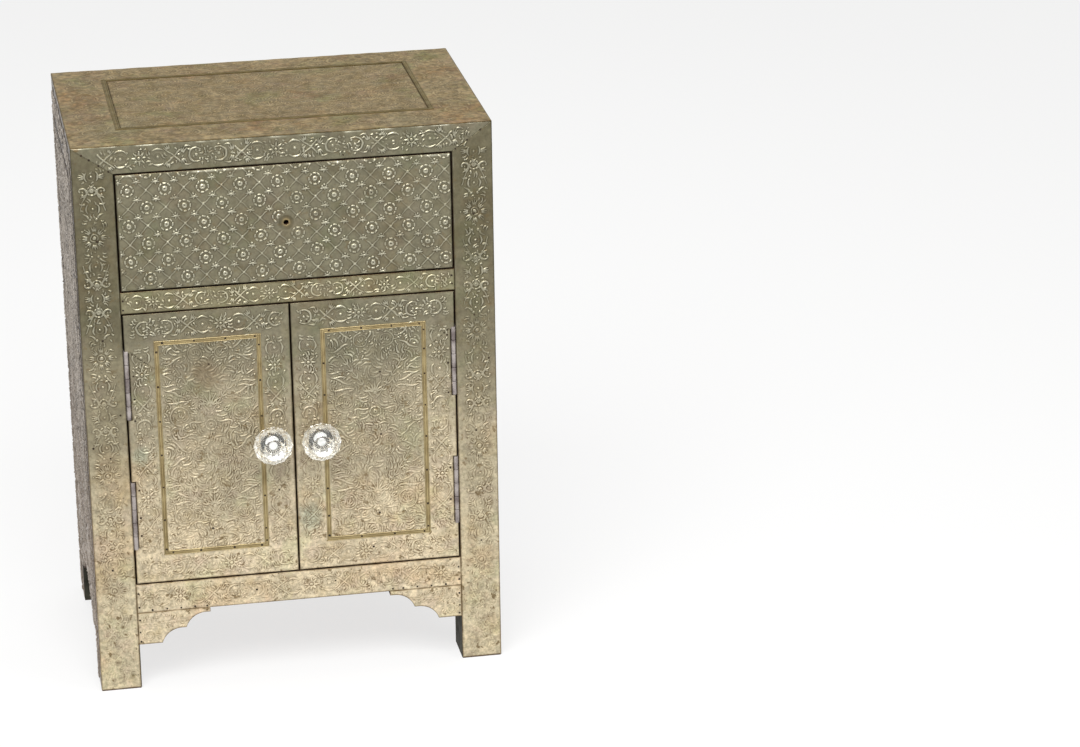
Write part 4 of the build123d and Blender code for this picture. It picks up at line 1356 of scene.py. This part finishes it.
place = rectangle(drawer_low[0], drawer_high[0], drawer_low[2], drawer_high[2])
lengths = (drawer_high[0] - drawer_low[0], drawer_high[2] - drawer_low[2])
options = {"hole": (complex(0, drawer_centre), hole_radius), "worn": (0.4, 0.4, 0.3, 0.8)}
drawer_metal = front_sheet("drawer_metal", place, lengths, 57, drawer_canvas(), **options)
dress(drawer_metal, front_metal, "drawer", "embossed_metal", "drawer_sheet")

HINGE_ROOM = 0.5  # above and below a hinge in the door's sheet
MITRE = 0.12  # how far a sheet dips at a mitre, as a share of a seam


def framed_sheets(label, places, lift, pattern, peak, first_seed, body, metal, slot, node):
    """The sheets of one panel: its middle, named last, and its borders joined in one piece."""
    pieces = []
    for seed, (name, (place, lengths, options)) in enumerate(places.items(), first_seed):
        pieces.append(add_sheet(f"{label}_{name}", lift, pattern, place, lengths, peak, seed, **options))
    dress(pieces.pop(), metal, body, slot, node)
    dress(join(f"{label}_border", pieces), metal, body, slot, node)


def door_frame_places(side):
    """The four mitred borders and the middle of a door's cladding."""
    seam = strip_seam
    x0, x1, z0, z1 = door_left, door_right, door_bottom, door_top
    a, b, c, d = corners(x0, x1, z0, z1)
    p, q, r, s = corners(x0 + seam, x1 - seam, z0 + seam, z1 - seam)
    notches = [(low - HINGE_ROOM, low + hinge_length + HINGE_ROOM) for low in hinge_bottoms]

    def hinged(u, v):
        points = quad(a, p, s, d)(u, v)
        edge = quad(a, p, s, d)(0 * u, v)
        notch = np.zeros(np.shape(points), bool)
        for low, high in notches:
            notch |= (edge.imag > low) & (edge.imag < high)
        start = np.where(notch, hinge_seat, x0)
        share = (points.real - x0) / seam
        return start + share * (x0 + seam - start) + 1j * points.imag

    steps = [(z - z0) / (z1 - z0) for notch in notches for z in notch]
    hole = (complex(side * -knob_x, knob_z), hole_radius)
    upright, level = {"seams": (1, 1, MITRE, MITRE)}, {"seams": (MITRE, MITRE, 1, 1)}
    places = {
        "hinge_border": (hinged, (seam, z1 - z0), {"steps_v": steps, **upright}),
        "knob_border": (quad(q, b, c, r), (seam, z1 - z0), {"hole": hole, **upright}),
        "foot_border": (quad(a, b, q, p), (x1 - x0, seam), level),
        "head_border": (quad(s, r, c, d), (x1 - x0, seam), level),
        "middle": (quad(p, q, r, s), (x1 - x0 - 2 * seam, z1 - z0 - 2 * seam), {}),
    }
    if side < 0:
        return places

    def other(place):
        return lambda u, v: -np.conj(place(u, v))

    return {name: (other(place), lengths, options) for name, (place, lengths, options) in places.items()}


for side, label in SIDES:
    framed_sheets(
        f"{label}_door", door_frame_places(side), front, pattern, FRONT_PEAK, 60 + 5 * side,
        f"{label}_door", front_metal, "embossed_metal", f"{label}_door_sheets",
    )


# ---- Sheets of the sides and the top ------------------------------------------------------------

y0, y1, z1 = y_front + sheet, y_back, z_mitre
z0 = z1 - border  # lower edge of the head border
arch = apron_bracket / side_span
side_places = {
    "front_border": (
        quad(complex(y0, z_foot), complex(y_leg_front, z_foot), complex(y_leg_front, z0), complex(y0, z1)),
        (border, z1),
        {"seams": (0.1, 1, 1, 1), "worn": (1, 0, 0, 0)},
    ),
    "back_border": (
        quad(complex(y_leg_back, z_foot), complex(y1, z_foot), complex(y1, z1), complex(y_leg_back, z0)),
        (border, z1),
        {},
    ),
    "head_border": (
        quad(complex(y_leg_front, z0), complex(y_leg_back, z0), complex(y1, z1), complex(y0, z1)),
        (y1 - y0, border),
        {"seams": (1, 1, 1, 0.1), "worn": (0, 0, 0, 1)},
    ),
    "apron": (apron_place, (side_span, side_foot - z_bracket), {"steps_u": (arch, 1 - arch)}),
    "middle": (
        rectangle(y_leg_front + side_seam, y_leg_back - side_seam, side_foot + side_seam, z0 - side_seam),
        (side_span, z0 - side_foot),
        {},
    ),
}
side_pattern = side_canvas()
for side, label in SIDES:
    framed_sheets(
        f"{label}_side", side_places, Lift(label, x_side), side_pattern, SIDE_PEAK, 80,
        "carcass", side_metal, "side_metal", f"{label}_side_sheets",
    )

top_pattern = top_canvas()
lift = Lift("top", z_top)
outer = corners(-x_side, x_side, y_front, y_back)
inner = corners(*top_field)
options = {"seams": (0.15, 0.15, 1, 1), "worn": (0, 0, 1, 0)}
TOP_BORDER = 55  # width of the top's borders, for the spacing of their meshes
pieces = []
for k in range(4):
    following = (k + 1) % 4
    place = quad(outer[k], outer[following], inner[following], inner[k])
    lengths = (abs(outer[following] - outer[k]), TOP_BORDER)
    made = add_sheet(f"top_border_{k}", lift, top_pattern, place, lengths, TOP_PEAK, 90 + k, **options)
    pieces.append(made)
dress(join("top_border_metal", pieces), top_metal, "carcass", "top_metal", "top_sheets")
x0, x1, y0, y1 = top_field
middle = add_sheet("top_middle_metal", lift, top_pattern, quad(*inner), (x1 - x0, y1 - y0), TOP_PEAK, 95)
dress(middle, top_metal, "carcass", "top_metal", "top_sheets")


# ---- Nails, strips, hinges and knobs ---------------------------------------------------------


def skin(count, turned, closed=False):
    """Faces between rings of points, in triangles where one ring is half a step on from the next.

    turned says of each ring whether it is half a step on. A closed skin goes back to its first
    ring, and any other skin gets a face over each end.
    """
    rows = len(turned)
    faces = []
    for k in range(rows if closed else rows - 1):
        following = (k + 1) % rows
        for j in range(count):
            beside = (j + 1) % count
            a, b = k * count + j, k * count + beside
            c, d = following * count + beside, following * count + j
            if turned[k] == turned[following]:
                faces.append((a, b, c, d))
            else:
                faces += [(a, c, d), (a, b, c)] if turned[k] else [(a, b, d), (b, c, d)]
    if not closed:
        last = (rows - 1) * count
        faces += [tuple(range(count))[::-1], tuple(range(last, last + count))]
    return faces


def lathe(profile, count, centre, axis_out):
    """A closed turned shape: rings of (radius, rise) about an axis, as vertices and faces."""
    out = Vector(axis_out)
    one = out.orthogonal().normalized()
    two = out.cross(one)
    vertices = []
    for radius, rise in profile:
        for j in range(count):
            angle = 2 * math.pi * j / count
            way = one * math.cos(angle) + two * math.sin(angle)
            vertices.append(tuple(Vector(centre) + way * radius + out * rise))
    return vertices, skin(count, [False] * len(profile))


def slab(x0, x1, y0, y1, z0, z1):
    """A closed block with chamfered long edges, as vertices and faces."""
    c = 0.15
    ring = (
        (x0 + c, y0), (x1 - c, y0), (x1, y0 + c), (x1, y1 - c),
        (x1 - c, y1), (x0 + c, y1), (x0, y1 - c), (x0, y0 + c),
    )
    return [(x, y, z) for z in (z0, z1) for x, y in ring], skin(8, [False, False])


def fix_normals(piece):
    """Turns the faces of closed shapes outwards."""
    work = bmesh.new()
    work.from_mesh(piece.data)
    bmesh.ops.recalc_face_normals(work, faces=work.faces)
    work.to_mesh(piece.data)
    work.free()


def bundle(name, shapes, material, body, slot, *nodes, smooth=True):
    """One object from many closed shapes given in millimetres."""
    vertices, faces = [], []
    for points, polygons in shapes:
        first = len(vertices)
        vertices += [tuple(c * MM for c in point) for point in points]
        faces += [tuple(first + i for i in polygon) for polygon in polygons]
    made = new_mesh(name, vertices, faces, smooth)
    if smooth:
        made.data.set_sharp_from_angle(angle=math.radians(40))
    fix_normals(made)
    dress(made, material, body, slot, *nodes)


def nail_head(at, level, out, rng, radius=1.1):
    """A small domed head that stands out of a face."""
    r = radius * rng.uniform(0.85, 1.15)
    profile = [(r, -0.3), (r, 0.12), (0.75 * r, 0.36), (0.3 * r, 0.48)]
    if out == "front":
        return lathe(profile, 9, (at.real, level, at.imag), (0, -1, 0))
    sign = -1 if out == "left" else 1
    return lathe(profile, 9, (sign * level, at.real, at.imag), (sign, 0, 0))


nail_rng = np.random.default_rng(5)
bundle(
    "carcass_nails",
    [nail_head(at, y_front, "front", nail_rng) for at in CARCASS_NAILS]
    + [nail_head(at, x_side, face, nail_rng) for face in ("left", "right") for at in SIDE_NAILS],
    nail_metal, "carcass", "steel",
)
for side, label in SIDES:
    bundle(
        f"{label}_door_nails",
        [nail_head(at, y_front, "front", nail_rng) for at in DOOR_NAILS[label]]
        + [nail_head(at, y_front - 0.45, "front", nail_rng, 1.15) for at in STRIP_PINS[label]],
        nail_metal, f"{label}_door", "steel",
    )

STRIP_PROFILE = [  # across the strip, height, dirt and painted shade, painted shine
    (-2.5, 0.1, 1.0, 0.0), (-2.4, 0.5, 0.5, 0.3), (-2.0, 0.78, 0.0, 1.0), (-1.55, 0.6, 0.4, 0.2),
    (-1.3, 0.42, 1.0, 0.0), (-0.5, 0.5, 0.1, 0.2), (0.5, 0.5, 0.1, 0.2), (1.3, 0.42, 1.0, 0.0),
    (1.55, 0.6, 0.4, 0.2), (2.0, 0.78, 0.0, 1.0), (2.4, 0.5, 0.5, 0.3), (2.5, 0.1, 1.0, 0.0),
    (2.5, -0.25, 1.0, 0.0), (-2.5, -0.25, 1.0, 0.0),  # its two edges in the seam
]
SPLIT_GAP = 7.4  # knob's axis to the ends of the strip that it interrupts


def strip_run(start, end, cuts, rng, peak):
    """A folded strip from one point of a face to another, its ends cut at given slants."""
    length = abs(end - start)
    along = (end - start) / length
    count = max(2, int(length / 3))
    sway = np.cumsum(rng.normal(0, 0.035, count + 1))
    sway -= np.linspace(sway[0], sway[-1], count + 1)
    points, heights = [], []
    for k in range(count + 1):
        t = k / count
        rise = rng.uniform(-0.03, 0.03) if 0 < k < count else 0.0
        slant = cuts[0] * (1 - t) + cuts[1] * t
        for across, height, _, _ in STRIP_PROFILE:
            points.append(start + along * (t * length + slant * across) + 1j * along * (across + sway[k]))
            heights.append(height if height < 0 else peak * height + rise)
    return np.array(points), np.array(heights), skin(len(STRIP_PROFILE), [False] * (count + 1))


def strips(name, lift, runs, material, body, node, seed, peak=1.0):
    """All the strips of one rectangle as one object."""
    rng = np.random.default_rng(seed)
    vertices, faces = [], []
    for start, end, cuts in runs:
        points, heights, polygons = strip_run(start, end, cuts, rng, peak)
        first = len(vertices)
        vertices += [tuple(point * MM) for point in lift(points, heights)]
        faces += [tuple(first + i for i in polygon) for polygon in polygons]
    made = new_mesh(name, vertices, faces)
    fix_normals(made)
    made.data.set_sharp_from_angle(angle=math.radians(50))
    # Dirt with painted shade, and painted shine, for each point across the strip.
    for label, column_of in (("dirt_and_shade", 2), ("ridge", 3)):
        values = [row[column_of] for row in STRIP_PROFILE]
        add_values(made.data, label, values * (len(vertices) // len(values)))
    dress(made, material, body, "trim_strip", node)


def rectangle_strips(x0, x1, z0, z1):
    """Four mitred runs round a rectangle, each with its slants."""
    ends = corners(x0, x1, z0, z1)
    return [(ends[k], ends[(k + 1) % 4], (1, -1)) for k in range(4)]


for side, label in SIDES:
    x0, x1 = sorted((side * -(door_left + strip_seam), side * -(door_right - strip_seam)))
    runs = rectangle_strips(x0, x1, door_bottom + strip_seam, door_top - strip_seam)
    start, end, cuts = runs.pop(1 if side < 0 else 3)  # the run that passes the knob
    knob = complex(start.real, knob_z)
    gap = SPLIT_GAP * (1j if start.imag < end.imag else -1j)
    runs += [(start, knob - gap, (cuts[0], 0)), (knob + gap, end, (0, cuts[1]))]
    strips(f"{label}_door_strip", front, runs, brass, f"{label}_door", f"{label}_door_trim", 70 + side)

half = trim_width / 2
(x0, y0, _), (x1, y1, _) = top_trim_low + half, top_trim_high - half
runs = rectangle_strips(x0, x1, y0, y1)
strips("top_strip", Lift("top", z_top), runs, top_brass, "carcass", "top_trim", 75, 0.75)


# Hinges: the same leaves and knuckles as the solids, with rounded edges, and their screws
SCREW_RADIUS, HALF_SLOT, SCREW_RISE, SCREW_DEPTH = 2.5, 0.32, 0.3, 0.4
SCREW_INSET = 9.0  # hinge's axis to its screws


def knuckle(x, y, z0, z1):
    """One knuckle of a hinge, round at its ends."""
    r, long = barrel_radius, z1 - z0
    profile = [(0.8 * r, 0.0), (0.95 * r, 0.12), (r, 0.45)]
    profile += [(r, long - 0.45), (0.95 * r, long - 0.12), (0.8 * r, long)]
    return lathe(profile, 20, (x, y, z0), (0, 0, 1))


def screw_head(at, out, slot_turn):
    """A countersunk head as two halves either side of its slot."""
    at, out = Vector(at), Vector(out)
    one = Vector((0, math.cos(slot_turn), math.sin(slot_turn)))
    two = out.cross(one)
    first = math.asin(HALF_SLOT / SCREW_RADIUS)
    shapes = []
    for sign in (1, -1):
        ring = []
        for k in range(9):
            angle = first + (math.pi - 2 * first) * k / 8
            ring.append(one * SCREW_RADIUS * math.cos(angle) + two * sign * SCREW_RADIUS * math.sin(angle))
        low = [tuple(at + v - out * SCREW_DEPTH) for v in ring]
        high = [tuple(at + v * 0.94 + out * SCREW_RISE) for v in ring]
        shapes.append((low + high, [face[::sign] for face in skin(len(ring), [False, False])]))
    return shapes


def hinge_shapes(side, part, own):
    """The leaves of both hinges of a side: part is -1 on the leg and 1 on the door."""
    x = side * hinge_x
    sense = part * (-side)  # which way along x this leaf lies from the pin
    seat = x + sense * (barrel_radius + barrel_clearance)
    face = seat - sense * leaf_thickness
    x0, x1 = sorted((seat, face))
    pitch = hinge_length / knuckle_count
    room = barrel_radius + knuckle_gap
    shapes = []
    for bottom in hinge_bottoms:
        shapes.append(slab(x0, x1, hinge_y + room, hinge_y + leaf_width, bottom, bottom + hinge_length))
        for index in own:
            low = bottom + index * pitch + knuckle_gap / 2
            high = bottom + (index + 1) * pitch - knuckle_gap / 2
            shapes.append(knuckle(x, hinge_y, low, high))
            shapes.append(slab(x0, x1, hinge_y + 0.2, hinge_y + room + 0.2, low, high))
        for share in (0.14, 0.5, 0.86):
            at = (face, hinge_y + SCREW_INSET, bottom + share * hinge_length)
            shapes += screw_head(at, (-sense, 0, 0), 0.6 + 4 * share + part)
    return shapes


frame_shapes = []
for side, label in SIDES:
    frame_shapes += hinge_shapes(side, -1, (0, 2, 4))
    shapes = hinge_shapes(side, 1, (1, 3))
    bundle(f"{label}_door_hinges", shapes, steel, f"{label}_door", "steel", f"{label}_door_hinge_leaves")
bundle("leg_hinges", frame_shapes, steel, "carcass", "steel", "frame_hinge_leaves")

# Knobs: cut glass over a silvered funnel and a ribbed ferrule; each ring is (radius, rise, turned)
KNOB_RINGS = [
    (7.5, 5.0, False), (9.0, 10.0, False), (14.5, 16.5, True), (20.2, 23.6, False), (20.5, 24.4, False),
    (20.5, 28.6, False), (19.9, 29.8, False), (16.6, 34.6, True), (12.6, 39.2, False), (11.6, 40.0, False),
]
FUNNEL_RINGS = [
    (3.2, 9.5, False), (7.2, 10.6, True), (11.0, 14.6, False), (15.2, 18.8, True), (19.2, 23.6, False),
    (19.0, 24.2, True), (14.8, 20.2, False), (10.4, 16.4, True), (6.6, 12.8, False), (3.2, 12.0, True),
]
FRONT_RINGS = range(5, 9)  # of the funnel, folded in and out
DISC_PROFILE = [(4.3, -1.6), (4.5, -1.2), (4.5, 0.5), (3.9, 1.0)]  # its rises count from the bolt's end
RIB_FACES = [(0, 1, 3, 2), (4, 6, 7, 5), (0, 4, 5, 1), (2, 3, 7, 6), (0, 2, 6, 4), (1, 5, 7, 3)]


def spoke(angle):
    """The way out from a knob's axis at an angle."""
    return Vector((math.cos(angle), 0, math.sin(angle)))


def cut_shape(rings, count, centre, rise_of=None, closed=False):
    """A faceted shape about a knob's axis; rise_of gives its points a rise of their own."""
    vertices = []
    for k, (radius, rise, turned) in enumerate(rings):
        for j in range(count):
            way = spoke(2 * math.pi * (j + 0.5 * turned) / count)
            height = rise_of(k, j, rise) if rise_of else rise
            vertices.append(tuple(Vector(centre) + way * radius + Vector((0, -height, 0))))
    return vertices, skin(count, [turned for _, _, turned in rings], closed)


def folded(rng):
    """The rises of the silvered funnel's points, so that its facets throw light unevenly."""
    def rise_of(k, j, rise):
        fold = 0.5 * (-1) ** j if k in FRONT_RINGS else 0.0
        return rise + fold + 0.15 * rng.uniform()

    return rise_of


def ferrule(centre):
    """A ribbed ring round the bolt, seen through the face of the knob."""
    count = 22
    ribs = []
    for k in range(count):
        angle = 2 * math.pi * k / count
        out, turn = spoke(angle), spoke(angle + math.pi / 2)
        middle = Vector(centre) + out * 6.3 + Vector((0, -bolt_reach - 0.2, 0))
        points = []
        for y in (0.8, -0.8):
            for reach, half_width in ((-1.6, 0.3), (1.8, 0.58)):
                for sign in (-1, 1):
                    point = middle + out * reach + turn * sign * half_width + Vector((0, y, 0))
                    points.append(tuple(point))
        ribs.append((points, RIB_FACES))
    return ribs


for side, label in SIDES:
    door_body, centre = f"{label}_door", (side * -knob_x, y_front, knob_z)
    knob = [cut_shape(KNOB_RINGS, 12, centre)]
    node = f"{label}_knob_glass"
    bundle(f"{label}_knob_cut_glass", knob, cut_glass, door_body, "knob_glass", node, smooth=False)
    funnel = [cut_shape(FUNNEL_RINGS, 24, centre, folded(np.random.default_rng(8)), closed=True)]
    # The silvered funnel glows a little: painted light.
    bundle(f"{label}_knob_silvering", funnel, glowing_silver, door_body, "knob_brass", smooth=False)
    bundle(f"{label}_knob_ferrule", ferrule(centre), rib_metal, door_body, "knob_brass", smooth=False)
    disc = [lathe([(radius, bolt_reach + rise) for radius, rise in DISC_PROFILE], 20, centre, (0, -1, 0))]
    bundle(f"{label}_knob_disc", disc, enamel, door_body, "knob_brass")


# ---- Stage, light and camera ----------------------------------------------------------------------


def seen(tree):
    """1 for rays from the camera, or that gloss or glass sends on, and 0 for the rest."""
    path = tree.nodes.new("ShaderNodeLightPath")
    total = path.outputs["Is Camera Ray"]
    for name in ("Is Glossy Ray", "Is Transmission Ray"):
        more = tree.nodes.new("ShaderNodeMath")
        more.operation = "MAXIMUM"
        tree.links.new(total, more.inputs[0])
        tree.links.new(path.outputs[name], more.inputs[1])
        total = more.outputs[0]
    return total


def stage():
    """A plain pale floor that keeps the shadow, in a white surrounding."""
    size = 8.0
    ends = [(point.real, point.imag, 0) for point in corners(-size, size, -size, size)]
    floor = new_mesh("floor", ends, [(0, 1, 2, 3)], False)
    n = Nodes("floor")
    n.set("Base Color", (0.86, 0.86, 0.85))
    n.set("Roughness", 0.9)
    tree = n.tree
    white = n.node("ShaderNodeEmission")
    share = n.times(seen(tree), 0.72)
    mixed = n.node("ShaderNodeMixShader")
    tree.links.new(share, mixed.inputs[0])
    tree.links.new(n.shader.outputs[0], mixed.inputs[1])
    tree.links.new(white.outputs[0], mixed.inputs[2])
    tree.links.new(mixed.outputs[0], tree.nodes["Material Output"].inputs[0])
    floor.data.materials.append(n.material)
    world = bpy.data.worlds.new("surround")
    bpy.context.scene.world = world
    world.use_nodes = True
    tree = world.node_tree
    background = tree.nodes["Background"]
    strength = tree.nodes.new("ShaderNodeMapRange")
    tree.links.new(seen(tree), strength.inputs["Value"])
    strength.inputs["To Min"].default_value = 0.5
    strength.inputs["To Max"].default_value = 1.0
    tree.links.new(strength.outputs["Result"], background.inputs["Strength"])
    background.inputs["Color"].default_value = (1, 1, 1, 1)


def lamp(name, at, target, size, power):
    """A lit rectangle that faces a point."""
    data = bpy.data.lights.new(name, "AREA")
    data.shape = "RECTANGLE"
    data.size, data.size_y = size
    data.energy = power
    made = new_object(name, data)
    made.location = at
    made.rotation_euler = (Vector(target) - Vector(at)).to_track_quat("-Z", "Y").to_euler()


def camera():
    """The photograph's camera, worked out from the corners of the cabinet."""
    focal, photo_width, sensor = 3716.5, 1080, 36  # in pixels, in pixels and in millimetres
    pitch, roll, yaw = 0.35728, -0.01389, 0.18437
    place = Vector((0.25719, -3.61177, 1.68613))
    forward = Vector((0, math.cos(pitch), -math.sin(pitch)))
    right = Vector((1, 0, 0))
    up = Vector((0, math.sin(pitch), math.cos(pitch)))
    side = math.cos(roll) * right + math.sin(roll) * up
    top = -math.sin(roll) * right + math.cos(roll) * up
    turn = Matrix.Rotation(-yaw, 3, "Z")
    axes = Matrix((turn @ side, turn @ top, turn @ -forward)).transposed()
    data = bpy.data.cameras.new("camera")
    data.lens = focal / photo_width * sensor
    data.sensor_width = sensor
    made = new_object("camera", data)
    made.matrix_world = Matrix.Translation(turn @ place + Vector((0, y_front * MM, 0))) @ axes.to_4x4()
    bpy.context.scene.camera = made


stage()
lamp("key", (-0.5, -1.7, 2.5), (0, 0, 0.3), (1.9, 1.5), 84)
lamp("fill", (1.7, -1.5, 1.4), (0, 0, 0.3), (0.9, 0.9), 10)
lamp("back", (0.3, 1.8, 1.6), (0, 0, 0.3), (1.4, 0.8), 5)
camera()
bpy.context.scene.view_settings.view_transform = "Standard"
